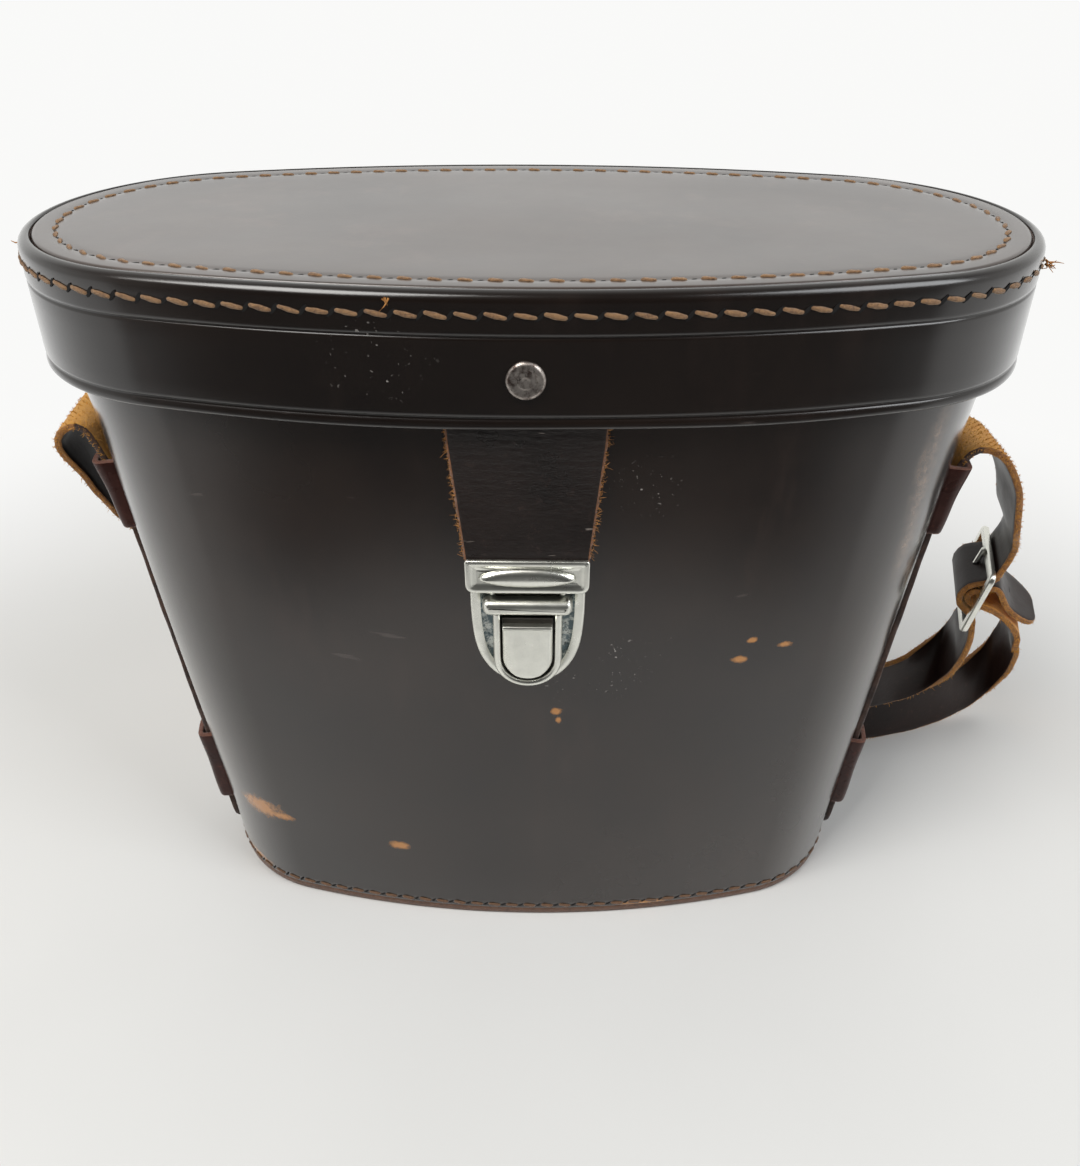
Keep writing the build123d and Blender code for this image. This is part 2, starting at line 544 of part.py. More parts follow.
for name, shape in pieces.items():
    export_step(shape, f"parts/{name}.step")
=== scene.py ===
import json
from random import Random
from math import atan2, copysign, cos, exp, hypot, pi, radians, sin, sqrt, tau

import bmesh
import bpy
import numpy as np
from mathutils import Matrix, Vector as V

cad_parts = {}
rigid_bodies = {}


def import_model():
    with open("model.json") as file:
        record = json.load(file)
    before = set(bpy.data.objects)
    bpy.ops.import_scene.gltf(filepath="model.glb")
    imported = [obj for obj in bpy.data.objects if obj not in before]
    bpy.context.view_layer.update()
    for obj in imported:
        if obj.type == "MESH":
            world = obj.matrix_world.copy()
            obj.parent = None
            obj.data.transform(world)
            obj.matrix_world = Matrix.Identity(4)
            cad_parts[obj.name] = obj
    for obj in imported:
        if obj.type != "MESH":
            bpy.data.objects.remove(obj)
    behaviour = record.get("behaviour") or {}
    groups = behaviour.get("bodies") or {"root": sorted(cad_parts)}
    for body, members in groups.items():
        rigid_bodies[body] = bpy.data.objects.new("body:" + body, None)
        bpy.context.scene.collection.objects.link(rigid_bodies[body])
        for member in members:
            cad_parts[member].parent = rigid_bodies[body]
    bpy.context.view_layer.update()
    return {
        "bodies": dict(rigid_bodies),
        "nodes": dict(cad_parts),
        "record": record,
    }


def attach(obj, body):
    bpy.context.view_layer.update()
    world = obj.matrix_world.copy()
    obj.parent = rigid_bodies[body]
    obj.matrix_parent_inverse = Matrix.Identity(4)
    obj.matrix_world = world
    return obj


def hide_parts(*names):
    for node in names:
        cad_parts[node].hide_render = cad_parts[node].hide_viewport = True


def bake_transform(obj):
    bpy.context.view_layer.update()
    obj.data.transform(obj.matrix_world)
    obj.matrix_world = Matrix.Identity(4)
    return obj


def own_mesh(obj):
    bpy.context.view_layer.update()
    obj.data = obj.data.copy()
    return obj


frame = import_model()
SCENE = bpy.context.scene
MM = 0.001
BODY_OF = {node: body for body, empty in frame["bodies"].items()
           for node, ob in frame["nodes"].items() if ob.parent == empty}
SLOT_OF = {s["node"]: s["material_slot"] for s in frame["record"]["subparts"]}

# -- the case's shape, in millimetres as in the CAD
# an oval is half its length, half its depth and the radius of its two ends
BODY_H, TOP = 146.0, 172.0
FOOT, HEAD = (82.5, 37.0, 30.26), (99.5, 45.5, 37.5)
LID_LOW, LID_TOP = (104.5, 50.5, 42.5), (105.0, 51.0, 43.0)
FRONT_SLOPE = atan2(HEAD[1] - FOOT[1], BODY_H)
SIDE_SLOPE = atan2(HEAD[0] - FOOT[0], BODY_H)
COLUMNS = 480             # points round each moulded skin


def mix(p, q, t):
    return tuple(u + (v - u) * t for u, v in zip(p, q))


def body_at(z):
    return mix(FOOT, HEAD, min(z, BODY_H) / BODY_H)


def lid_at(z):
    return mix(LID_LOW, LID_TOP, (z - BODY_H) / (TOP - BODY_H))


def flat_radius(size):
    """Radius of the oval's two long sides."""
    a, b, r = size
    return ((a - r) ** 2 + b * b - r * r) / (2 * (b - r))


def oval_point(size, psi, out=0.0):
    """Point of the four-arc oval whose normal has angle psi, pushed out by `out`."""
    a, b, r = size
    big = flat_radius(size)
    nx, ny = cos(psi), sin(psi)
    if abs(nx) < sin(atan2(a - r, big - b)):
        return ((big + out) * nx, (big + out) * ny - copysign(big - b, ny))
    return ((r + out) * nx + copysign(a - r, nx), (r + out) * ny)


def even_angles(size, count, out=0.0):
    """Normal angles that cut the oval into equal lengths, from the back middle."""
    fine = [pi / 2 + tau * i / 14400 for i in range(14401)]
    pts = np.array([oval_point(size, p, out) for p in fine])
    run = np.r_[0, np.cumsum(np.hypot(*np.diff(pts, axis=0).T))]
    return np.interp(np.linspace(0, run[-1], count, endpoint=False), run, fine), run[-1]


ANGLES, _ = even_angles(HEAD, COLUMNS)


# -- number helpers
def steps(a, b, count):
    return [a + i * (b - a) / (count - 1) for i in range(count)]


def turns(count):
    return [tau * k / count for k in range(count)]


def smooth(a, b, x):
    t = max(0.0, min(1.0, (x - a) / (b - a)))
    return t * t * (3 - 2 * t)


def sag(radius, half):
    """How far an arc of this radius falls back at `half` from its middle."""
    return radius - sqrt(radius * radius - half * half)


def unit(v):
    return v.normalized()


def jitter(rnd, reach):
    return V([rnd.uniform(-reach, reach) for _ in range(3)])


def circle(centre, u, v, across, up, count):
    return [centre + u * (across * cos(a)) + v * (up * sin(a)) for a in turns(count)]


def eased(points, i, t):
    """Point on the smooth curve through the points, at t between i and i + 1."""
    near = (max(i - 1, 0), i, i + 1, min(i + 2, len(points) - 1))
    p0, p1, p2, p3 = (points[k] for k in near)
    return (p1 * 2 + (p2 - p0) * t + (p0 * 2 - p1 * 5 + p2 * 4 - p3) * t ** 2
            + (p1 * 3 - p0 - p2 * 3 + p3) * t ** 3) * 0.5


# -- mesh helpers
def skin(rings, count, start=0, loop=False, gap=0):
    """Faces between rings of `count` points; `loop` joins the last ring to the first."""
    faces = []
    for i in range(rings if loop else rings - 1):
        a, b = start + i * count, start + (i + 1) % rings * count
        for j in range(count - gap):
            k = (j + 1) % count
            faces.append((a + j, a + k, b + k, b + j))
    return faces


def disc(ring, count, start=0):
    return tuple(range(start + ring * count, start + (ring + 1) * count))


def tube(rings, count):
    """Rings with both ends closed."""
    return skin(rings, count) + [disc(rings - 1, count), disc(0, count)]


def placed(name, data):
    ob = bpy.data.objects.new(name, data)
    SCENE.collection.objects.link(ob)
    return ob


def make(name, verts, faces, mats=(), kinds=None):
    """Smooth mesh object from millimetre points, with its faces turned outward."""
    mesh = bpy.data.meshes.new(name)
    mesh.from_pydata([tuple(c * MM for c in v) for v in verts], [], faces)
    for m in mats:
        mesh.materials.append(m)
    if kinds:
        mesh.polygons.foreach_set("material_index", kinds)
    mesh.polygons.foreach_set("use_smooth", [True] * len(mesh.polygons))
    bm = bmesh.new()
    bm.from_mesh(mesh)
    bmesh.ops.remove_doubles(bm, verts=bm.verts, dist=1e-6)
    bmesh.ops.recalc_face_normals(bm, faces=bm.faces)
    bm.to_mesh(mesh)
    bm.free()
    return placed(name, mesh)


def wear(ob, node):
    """The piece rides on the body of a CAD node."""
    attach(ob, BODY_OF[node])


def stand_in(ob, node):
    """The piece takes a CAD node's place."""
    wear(ob, node)
    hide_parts(node)


def crisp(ob, angle):
    """Keeps edges sharper than `angle` degrees sharp in the shading."""
    bm = bmesh.new()
    bm.from_mesh(ob.data)
    for edge in bm.edges:
        edge.smooth = len(edge.link_faces) != 2 or edge.calc_face_angle() < radians(angle)
    bm.to_mesh(ob.data)
    bm.free()
    return ob


def join(name, *parts):
    """Several pieces as one object."""
    for ob in SCENE.objects:
        ob.select_set(ob in parts)
    bpy.context.view_layer.objects.active = parts[0]
    bpy.ops.object.join()
    parts[0].name = name
    return parts[0]


def turned(name, size, spots, mats, first=range(999), warp=None, loop=False, cap=0.0):
    """Skin through ovals at (out, height); rows not in `first` take the second finish.

    `size` is an oval or gives one for a height. `cap` closes the last row onto a
    spine this long.
    """
    rows = []
    for out, z in spots:
        at = size(z) if callable(size) else size
        rows.append([(*oval_point(at, psi, out), z) for psi in ANGLES])
    if cap:
        last = rows[-1]
        spine = [max(-cap, min(cap, x * cap / 60)) for x, _, _ in last]
        for t in (0.2, 0.45, 0.7, 0.9, 1.0):
            rows.append([(x + (c - x) * t, y * (1 - t), z) for (x, y, z), c in zip(last, spine)])
    verts = [warp(*p) if warp else p for row in rows for p in row]
    faces = skin(len(rows), COLUMNS, loop=loop)
    return make(name, verts, faces, mats, [int(i // COLUMNS not in first) for i in range(len(faces))])


RIM = 0.35
RIM_PROFILE = ((0.25, 0.86), (0.02, 0.45), (0.02, -0.45), (0.25, -0.86))


def leather(name, rows, thick, mats, jag=0.0, seed=1):
    """Thick leather through rows of (point, normal); mats are skin, edge, flesh."""
    rnd = Random(seed)
    columns = len(rows[0])
    mid = [row[columns // 2][0] for row in rows]
    stack = [(rows[0], 0.55, unit(mid[0] - mid[1]) * 0.25)]
    stack += [(row, 1.0, V((0, 0, 0))) for row in rows]
    stack += [(rows[-1], 0.55, unit(mid[-1] - mid[-2]) * 0.25)]
    verts = []
    for row, share, shift in stack:
        half = thick / 2 * share
        left, right = [unit(row[i][0] - row[j][0]) for i, j in ((1, 0), (-2, -1))]
        top = [p + n * half + shift for p, n in row]
        low = [p - n * half + shift for p, n in row]
        for face in (top, low):
            face[0] = face[0] + left * RIM
            face[-1] = face[-1] + right * RIM

        def side(end, inward, profile):
            p, n = end
            return [p + inward * (inset * RIM + rnd.uniform(-jag, jag)) + n * (half * h) + shift
                    for inset, h in profile]
        verts += top + side(row[-1], right, RIM_PROFILE)
        verts += low[::-1] + side(row[0], left, RIM_PROFILE[::-1])
    ring = 2 * columns + 2 * len(RIM_PROFILE)
    edge = [1] * (len(RIM_PROFILE) + 1)
    kinds = [0] * (columns - 1) + edge + [2] * (columns - 1) + edge
    kinds = [1] * ring + kinds * (len(stack) - 3) + [1] * (ring + 2)
    return make(name, verts, tube(len(stack), ring), mats, kinds)


def strand(verts, faces, points, radius):
    """Adds a thin three-sided hair through the points, tapering to its tip."""
    faces += skin(len(points), 3, len(verts))
    last = len(points) - 1
    for i, p in enumerate(points):
        ahead = unit(points[min(i + 1, last)] - points[max(i - 1, 0)])
        u = unit(ahead.orthogonal())
        r = radius * (1 - 0.75 * i / last)
        verts += circle(p, u, ahead.cross(u), r, r, 3)


def fuzz(name, rows, thick, mat, per_mm, reach, seed, sides=(0, -1)):
    """Loose fibres standing out of a leather's two long edges."""
    rnd = Random(seed)
    verts, faces = [], []
    for side in sides:
        near = 1 if side == 0 else -2
        for a, b in zip(rows, rows[1:]):
            span = b[side][0] - a[side][0]
            wanted = span.length * per_mm
            out = unit(a[side][0] - a[near][0])
            n, along = a[side][1], unit(span)
            for _ in range(int(wanted) + (rnd.random() < wanted % 1)):
                root = a[side][0] + span * rnd.random() + n * (rnd.uniform(-0.42, 0.42) * thick)
                way = out + n * rnd.uniform(-0.8, 0.8) + along * rnd.uniform(-1.2, 1.2)
                curl = jitter(rnd, 0.6)
                length = reach * (0.25 + 0.75 * rnd.random() ** 3)
                way = unit(way) * length
                points = [root - out * 0.1, root + way * 0.5, root + way * 0.85 + curl * (length * 0.5),
                          root + way + curl * length]
                strand(verts, faces, points, rnd.uniform(0.05, 0.1))
    return make(name, verts, faces, [mat])


def slanted(t, n, degrees):
    """Directions along and across a line on a surface, turned by `degrees`."""
    lean = radians(degrees)
    way = t * cos(lean) + n.cross(t) * sin(lean)
    return way, n.cross(way)


def sew(name, run, mat, node, thread=(4.7, 0.98, 0.6), tilt=-11, hole=(2.7, 0.85), seed=3):
    """Sewn row: slanted threads at the spots with a punched slit between them."""
    rnd = Random(seed)
    verts, faces, kinds = [], [], []
    spots, pitch = run
    long, wide, high = thread
    rings, ring, punched = 9, 8, 10
    for p, t, n in spots:
        way, side = slanted(t, n, tilt + rnd.uniform(-4, 4))
        size = rnd.uniform(0.88, 1.08)
        faces += skin(rings, ring, len(verts))
        for u in steps(-1, 1, rings):
            full = (1 - abs(u) ** 5) ** 0.5 * 0.85 + 0.15
            centre = p + way * (u * long / 2) + n * (high * (0.22 - 0.55 * u ** 4))
            for a in turns(ring):
                ply = full * size * (1 + 0.16 * cos(2 * a + 5 * u))
                verts.append(centre + side * (wide / 2 * cos(a) * ply) + n * (high / 2 * sin(a) * ply))
        way, side = slanted(t, n, 48 + rnd.uniform(-8, 8))
        faces.append(disc(0, punched, len(verts)))
        verts += circle(p + t * (pitch / 2) + n * 0.05, way, side, hole[0] / 2, hole[1] / 2, punched)
        kinds += [0] * ((rings - 1) * ring) + [1]
    wear(make(name, verts, faces, [mat, HOLE], kinds), node)


def oval_spots(size, out, z, pitch, lean=0.0, flat=False):
    """Stitches round an oval: their (point, direction along, surface normal), and the pitch."""
    _, total = even_angles(size, 4, out)
    angles, _ = even_angles(size, round(total / pitch), out)
    spots = []
    for psi in angles:
        n = V((0, 0, 1)) if flat else unit(V((cos(psi), sin(psi), -lean)))
        spots.append((V((*oval_point(size, psi, out), z)), V((-sin(psi), cos(psi), 0)), n))
    return spots, total / len(angles)


def line_spots(lines, normal, pitch=4.6):
    """The same on straight seams."""
    spots = []
    for start, end in lines:
        way = end - start
        count = max(2, round(way.length / pitch))
        spots += [(start + way * ((i + 0.5) / count), unit(way), normal) for i in range(count)]
    return spots, way.length / count


def oblong(half, high, low, radii=()):
    """Oblong, with its upper and its lower corners rounded where `radii` gives both."""
    pts = [V(p) for p in ((half, high), (-half, high), (-half, low), (half, low))]
    if not radii:
        return pts
    outline = []
    for i, p in enumerate(pts):
        r = radii[i // 2]
        a, b = unit(pts[i - 1] - p), unit(pts[(i + 1) % 4] - p)
        outline += [p + a * (r * (1 - k / 6) ** 2) + b * (r * (k / 6) ** 2) for k in range(7)]
    return outline


def bevelled(node, mat, width):
    """Copy of a rigid CAD node with its sharp edges rounded over."""
    src = frame["nodes"][node].data
    bm = bmesh.new()
    marks = [bm.verts.new(v.co) for v in src.vertices]
    for poly in src.polygons:
        corner = [marks[i] for i in poly.vertices]
        if len(set(corner)) == len(corner):
            bm.faces.new(corner)
    bmesh.ops.remove_doubles(bm, verts=bm.verts, dist=2e-6)
    bmesh.ops.dissolve_limit(bm, angle_limit=radians(1.5), verts=bm.verts, edges=bm.edges)
    sharp = [e for e in bm.edges if len(e.link_faces) == 2 and e.calc_face_angle() > radians(30)]
    bmesh.ops.bevel(bm, geom=sharp, offset=width * MM, segments=2, profile=0.5, affect="EDGES",
                    clamp_overlap=True)
    mesh = bpy.data.meshes.new(node + "_worn")
    bm.to_mesh(mesh)
    bm.free()
    mesh.materials.append(mat)
    mesh.polygons.foreach_set("use_smooth", [True] * len(mesh.polygons))
    stand_in(crisp(placed(node + "_worn", mesh), 50), node)


# -- shader helpers
def new_mat(name):
    m = bpy.data.materials.new(name)
    m.use_nodes = True
    nt = m.node_tree
    return m, nt, nt.nodes["Principled BSDF"]


def feed(nt, node, values):
    """Links sockets to the node's inputs, and sets plain values and colours on them."""
    for key, value in values.items():
        socket = node.inputs[key]
        if isinstance(value, bpy.types.NodeSocket):
            nt.links.new(value, socket)
        else:
            socket.default_value = (*value, 1.0) if socket.type == "RGBA" else value


def add(nt, kind, out, values, **settings):
    node = nt.nodes.new("ShaderNode" + kind)
    for key, value in settings.items():
        setattr(node, key, value)
    feed(nt, node, values)
    return node.outputs[out]


def calc(nt, operation, *terms):
    return add(nt, "Math", 0, dict(enumerate(terms)), operation=operation)


def times(nt, a, b):
    return calc(nt, "MULTIPLY", a, b)


def place(nt, kind="Object"):
    return add(nt, "TexCoord", kind, {})


def axis(nt, letter, kind="Object"):
    return add(nt, "SeparateXYZ", letter, {0: place(nt, kind)})


def far(nt, point):
    return add(nt, "VectorMath", "Value", {0: point}, operation="LENGTH")


def noise(nt, scale, detail=4.0, rough=0.55, stretch=None):
    src = place(nt)
    if stretch:
        src = add(nt, "Mapping", 0, {"Vector": src, "Scale": stretch})
    return add(nt, "TexNoise", "Fac", {"Vector": src, "Scale": scale, "Detail": detail, "Roughness": rough})


def cells(nt, scale):
    return add(nt, "TexVoronoi", "Distance", {"Vector": place(nt), "Scale": scale},
               feature="DISTANCE_TO_EDGE")


def ramp(nt, fac, low, high, dark=(0, 0, 0), light=(1, 1, 1)):
    r = nt.nodes.new("ShaderNodeValToRGB")
    for e, pos, col in zip(r.color_ramp.elements, (low, high), (dark, light)):
        e.position, e.color = pos, (*col, 1.0)
    nt.links.new(fac, r.inputs["Fac"])
    return r.outputs["Color"]


def ranged(nt, value, low, high, to_low=0.0, to_high=1.0, kind="SMOOTHSTEP"):
    return add(nt, "MapRange", "Result", {"Value": value, "From Min": low, "From Max": high,
                                          "To Min": to_low, "To Max": to_high}, interpolation_type=kind)


def blend(nt, fac, a, b):
    """Colour mix; these are the Mix node's colour sockets."""
    return add(nt, "Mix", 2, {0: fac, 6: a, 7: b}, data_type="RGBA")


def bump(nt, bsdf, parts):
    """Chain of bumps from (height, strength, distance in mm)."""
    below = {}
    for height, strength, dist in parts:
        below["Normal"] = add(nt, "Bump", 0, {
            "Strength": strength, "Distance": dist * MM, "Height": height, **below})
    feed(nt, bsdf, below)


def rough_map(nt, fac, lo, hi):
    return ranged(nt, fac, 0.3, 0.7, lo, hi, "LINEAR")


RAGGED = 1.6              # how much the noise frays a patch's edge


def spot(nt, centre, radius, soft, scale):
    """Ragged patch round a point of the case: 1 inside, 0 outside."""
    at = add(nt, "Mapping", 0, {"Vector": place(nt), "Location": [-c * MM for c in centre]})
    at = add(nt, "VectorMath", 0, {0: at, 1: [1.0 / (r * MM) for r in radius]}, operation="MULTIPLY")
    off = calc(nt, "MULTIPLY_ADD", noise(nt, scale, 6, 0.7), RAGGED, far(nt, at))
    return ranged(nt, off, RAGGED + soft, RAGGED - soft, kind="LINEAR")


# -- materials
# rubbed-through places, a painted sheen streak down the front-right corner, and pale specks on the wall:
# middle and radii
SCUFFS = [((-69.5, -28, 28.7), (6.5, 8, 3.4)), ((-63.5, -31.5, 27.5), (3.5, 6, 1.4)),
          ((-32.8, -36.1, 23.6), (3.0, 5, 1.5)), ((46.9, -37.6, 84.6), (1.9, 5, 1.0)),
          ((56.9, -35.8, 87.5), (1.6, 5, 0.9)), ((49.1, -37.5, 89.8), (1.3, 5, 0.8)),
          ((6.2, -41.0, 72.1), (1.3, 5, 1.1)), ((6.8, -41.0, 69.4), (0.7, 5, 1.0)),
          ((-74, -20, 5), (5, 7, 1.2)), ((30, -37.5, 3), (7, 6, 0.9))]
# painted sheen: a lighter, soft streak down the front-right corner of the wall
SHEEN_STREAK = [((82.8, -29.8, 129), (2.6, 2.2, 12)), ((83, -27.6, 109), (2.2, 2.0, 11))]
SPECKS = [((24, -43.6, 131), (7, 6, 6)), ((-27, -49.3, 159), (9, 6, 7)), ((12, -42, 86), (16, 6, 9))]


def case_leather(name, tone=1.0, rough=(0.16, 0.30), gloss=(0.3, 1.4), scuffs_and_sheen=True):
    """Dyed, polished leather; `gloss` is its specular level and its coat's IOR."""
    m, nt, b = new_mat(name)
    dark, light, pale = [tuple(c * tone for c in col) for col in (
        (0.0085, 0.0048, 0.0038), (0.021, 0.0125, 0.0088), (0.028, 0.0165, 0.0125))]
    base = ramp(nt, noise(nt, 22, 5, 0.6), 0.3, 0.7, dark, light)
    base = blend(nt, ramp(nt, noise(nt, 60, 6, 0.7, (1, 1, 0.25)), 0.55, 0.75), base, pale)
    scratch = ramp(nt, noise(nt, 240, 3, 0.5, (0.08, 1, 1)), 0.74, 0.78)
    base = blend(nt, scratch, base, (0.05, 0.038, 0.034))
    if scuffs_and_sheen:
        for marks, soft, scale, colour, fine in (
                (SPECKS, 0.5, 160, (0.34, 0.32, 0.30), ramp(nt, noise(nt, 1100, 3, 0.6), 0.66, 0.70)),
                # the painted sheen streak down the front-right corner
                (SHEEN_STREAK, 0.9, 140, (0.22, 0.145, 0.10), ramp(nt, noise(nt, 380, 6, 0.7), 0.36, 0.62)),
                (SCUFFS, 0.3, 520, (0.46, 0.20, 0.05), None)):
            for at in marks:
                near = spot(nt, *at, soft, scale)
                base = blend(nt, times(nt, near, fine) if fine else near, base, colour)
    feed(nt, b, {"Base Color": base, "Roughness": rough_map(nt, noise(nt, 14, 5, 0.6), *rough),
                 "Specular IOR Level": gloss[0], "Coat Weight": 1.0, "Coat IOR": gloss[1],
                 "Coat Roughness": 0.2})
    bump(nt, b, [(noise(nt, 9, 3), 0.5, 0.8), (noise(nt, 260, 5, 0.65), 0.14, 0.10),
                 (cells(nt, 900), 0.08, 0.05)])
    return m


def raw_leather(name, light, dark, rough=0.75, grain=900, dark_within=None):
    """Fibrous cut edge or flesh side; near the case's side wall, within the given distance, it is darker.
    """
    m, nt, b = new_mat(name)
    col = ramp(nt, noise(nt, grain, 6, 0.75), 0.35, 0.65, dark, light)
    col = blend(nt, ramp(nt, noise(nt, 60, 4), 0.4, 0.7), col, tuple(c * 0.72 for c in light))
    # darker where the leather lies within this distance of the case's side wall
    if dark_within:
        wall = ranged(nt, axis(nt, "Z"), 0.0, BODY_H * MM, FOOT[0] * MM, HEAD[0] * MM)
        gap = calc(nt, "SUBTRACT", calc(nt, "ABSOLUTE", axis(nt, "X")), wall)
        near = ranged(nt, gap, (dark_within - 1) * MM, dark_within * MM, 1.0, 0.0)
        dark_edge_tone = ramp(nt, noise(nt, 300, 5, 0.7), 0.4, 0.68, (0.035, 0.018, 0.014), (0.11, 0.055, 0.036))
        col = blend(nt, near, col, dark_edge_tone)
    feed(nt, b, {"Base Color": col, "Roughness": rough, "Sheen Weight": 0.25})
    bump(nt, b, [(noise(nt, grain, 6, 0.8), 0.9, 0.35), (noise(nt, 150, 4), 0.4, 0.4)])
    return m


def worn_skin(name, low, high, rough, creased=False):
    """Strap leather: oiled skin side with rubbed places, and fine creases where it bends."""
    m, nt, b = new_mat(name)
    col = ramp(nt, noise(nt, 45, 6, 0.65), 0.3, 0.72, low, high)
    rub = ramp(nt, noise(nt, 420, 6, 0.8), 0.56, 0.80)
    col = blend(nt, rub, col, tuple(min(1, c * 2.2) for c in high))
    heights = [(noise(nt, 55, 4), 0.5, 0.5), (cells(nt, 700), 0.22, 0.1), (noise(nt, 500, 5), 0.2, 0.1)]
    if creased:
        nick = ramp(nt, noise(nt, 620, 3, 0.5, (0.16, 1, 1)), 0.715, 0.745)
        col = blend(nt, nick, col, (0.20, 0.17, 0.15))
        bend = ranged(nt, axis(nt, "Z"), 0.124, 0.140, 0.15, 1.0)
        heights[0] = (times(nt, noise(nt, 1150, 5, 0.7, (0.3, 1, 1)), bend), 1.0, 0.45)
    feed(nt, b, {"Base Color": col, "Roughness": rough_map(nt, noise(nt, 90, 4), *rough),
                 "Specular IOR Level": 0.3 if creased else 0.2,
                 "Coat Weight": 0.16 if creased else 0.08, "Coat Roughness": 0.3})
    bump(nt, b, heights)
    return m


def metal(name, base, tint, rough=(0.16, 0.30), pits=None, patch=140, from_to=(0.42, 0.68)):
    """Plated metal, clouded in patches; `pits` gives the colour of fine specks."""
    m, nt, b = new_mat(name)
    col = blend(nt, ramp(nt, noise(nt, patch, 5, 0.7), *from_to), base, tint)
    if pits:
        col = blend(nt, ramp(nt, noise(nt, 1300, 4, 0.7), 0.60, 0.66), col, pits)
    feed(nt, b, {"Base Color": col, "Metallic": 1.0,
                 "Roughness": rough_map(nt, noise(nt, 160, 4, 0.6), *rough)})
    bump(nt, b, [(noise(nt, 300, 3), 0.02, 0.04)])
    return m


def felt(name, low, high):
    m, nt, b = new_mat(name)
    feed(nt, b, {"Base Color": ramp(nt, noise(nt, 700, 6, 0.8), 0.35, 0.65, low, high),
                 "Roughness": 0.95, "Sheen Weight": 0.5})
    bump(nt, b, [(noise(nt, 1500, 4, 0.8), 0.9, 0.3), (noise(nt, 60, 3), 0.3, 0.5)])
    return m


def plain(name, colour, rough):
    m, nt, b = new_mat(name)
    dark = tuple(c * 0.6 for c in colour)
    feed(nt, b, {"Base Color": ramp(nt, noise(nt, 500, 4), 0.3, 0.7, dark, colour), "Roughness": rough})
    return m


LEATHER = case_leather("case_leather")
LID_LEATHER = case_leather("lid_leather", 0.5)
# the lid's top: the case leather made 2.4 times lighter as painted sheen of the top, with its own rougher
# finish and stronger gloss
PANEL_PAINTED_SHEEN = case_leather("panel_leather", 2.4, (0.30, 0.42), (0.5, 1.5), scuffs_and_sheen=False)
EDGE = raw_leather("raw_edge", (0.17, 0.07, 0.03), (0.05, 0.022, 0.012))
SUEDE = raw_leather("suede", (0.88, 0.43, 0.065), (0.52, 0.21, 0.030), 0.9, 1300)
STRAP_SKIN = worn_skin("strap_skin", (0.009, 0.0045, 0.0036), (0.027, 0.014, 0.011), (0.3, 0.5))
TAB_SKIN = worn_skin("tab_skin", (0.007, 0.0045, 0.004), (0.019, 0.011, 0.009), (0.24, 0.42), True)
KEEPER_SKIN = worn_skin("keeper_skin", (0.022, 0.006, 0.0045), (0.062, 0.018, 0.012), (0.22, 0.42))
NICKEL = metal("nickel", (0.86, 0.86, 0.79), (0.74, 0.74, 0.68), (0.25, 0.33))
TARNISH = metal("tarnished_nickel", (0.30, 0.30, 0.28), (0.12, 0.12, 0.11), (0.25, 0.5))
SHADE = metal("shaded_steel", (0.055, 0.05, 0.045), (0.03, 0.028, 0.025), (0.4, 0.6))
TIN = metal("mottled_tin", (0.52, 0.47, 0.43), (0.10, 0.07, 0.06), (0.34, 0.5), (0.03, 0.02, 0.018),
            560, (0.44, 0.64))
STEEL = metal("steel", (0.55, 0.55, 0.55), (0.4, 0.4, 0.4))
THREAD = raw_leather("thread", (0.37, 0.20, 0.08), (0.10, 0.044, 0.018), 0.7, 1700)
HOLE = plain("stitch_hole", (0.004, 0.003, 0.003), 0.9)
FELT = felt("red_felt", (0.05, 0.006, 0.009), (0.13, 0.018, 0.022))
BOARD = plain("fibreboard", (0.28, 0.2, 0.12), 0.85)
KEEPER_EDGE = raw_leather("keeper_edge", (0.22, 0.075, 0.04), (0.07, 0.024, 0.016), 0.6)
RAW_ORANGE = raw_leather("raw_orange_edge", (0.27, 0.10, 0.028), (0.045, 0.019, 0.011), 0.85, 520)
STRAP_EDGE = raw_leather("strap_edge", (0.50, 0.22, 0.05), (0.16, 0.06, 0.02), 0.85, dark_within=4.6)
FUZZ = plain("fuzz", (0.60, 0.27, 0.075), 0.9)
NAP = plain("nap", (0.86, 0.42, 0.07), 0.9)
DULL_THREAD = raw_leather("dull_thread", (0.20, 0.095, 0.04), (0.08, 0.04, 0.02), 0.75, 2200)
BLUED = metal("tarnished_shield", (0.10, 0.13, 0.14), (0.46, 0.48, 0.45), (0.2, 0.4),
              (0.05, 0.05, 0.045), 620, (0.48, 0.62))
BRASS = metal("brass", (0.55, 0.40, 0.16), (0.34, 0.24, 0.10))
CLOTH = felt("lining_cloth", (0.020, 0.012, 0.010), (0.055, 0.034, 0.026))

# -- the CAD nodes' own finishes
BY_SLOT = {"case_leather": LEATHER, "panel_leather": PANEL_PAINTED_SHEEN, "tab_leather": TAB_SKIN,
           "keeper_leather": KEEPER_SKIN, "strap_leather": STRAP_SKIN, "board": BOARD, "felt": FELT,
           "nickel": NICKEL, "nickel_dull": TARNISH, "rivet_tin": TIN, "steel": STEEL, "brass": BRASS}
for node, ob in frame["nodes"].items():
    ob.data.materials.clear()
    ob.data.materials.append(BY_SLOT[SLOT_OF[node]])


# -- body: outer wall, neck, base, liner
def wall_dents(x, y, z):
    """Shallow hollows of hand-moulded leather; never stands proud of the wall."""
    f = 0.5 + 0.25 * sin(x / 17 + z / 29 + 1) + 0.25 * sin(x / 31 - z / 23 + copysign(2, y))
    f *= smooth(3, 26, z) * (1 - smooth(128, 144, z)) * 0.55
    length = hypot(x, y)
    return (x - x / length * f, y - y / length * f, z)


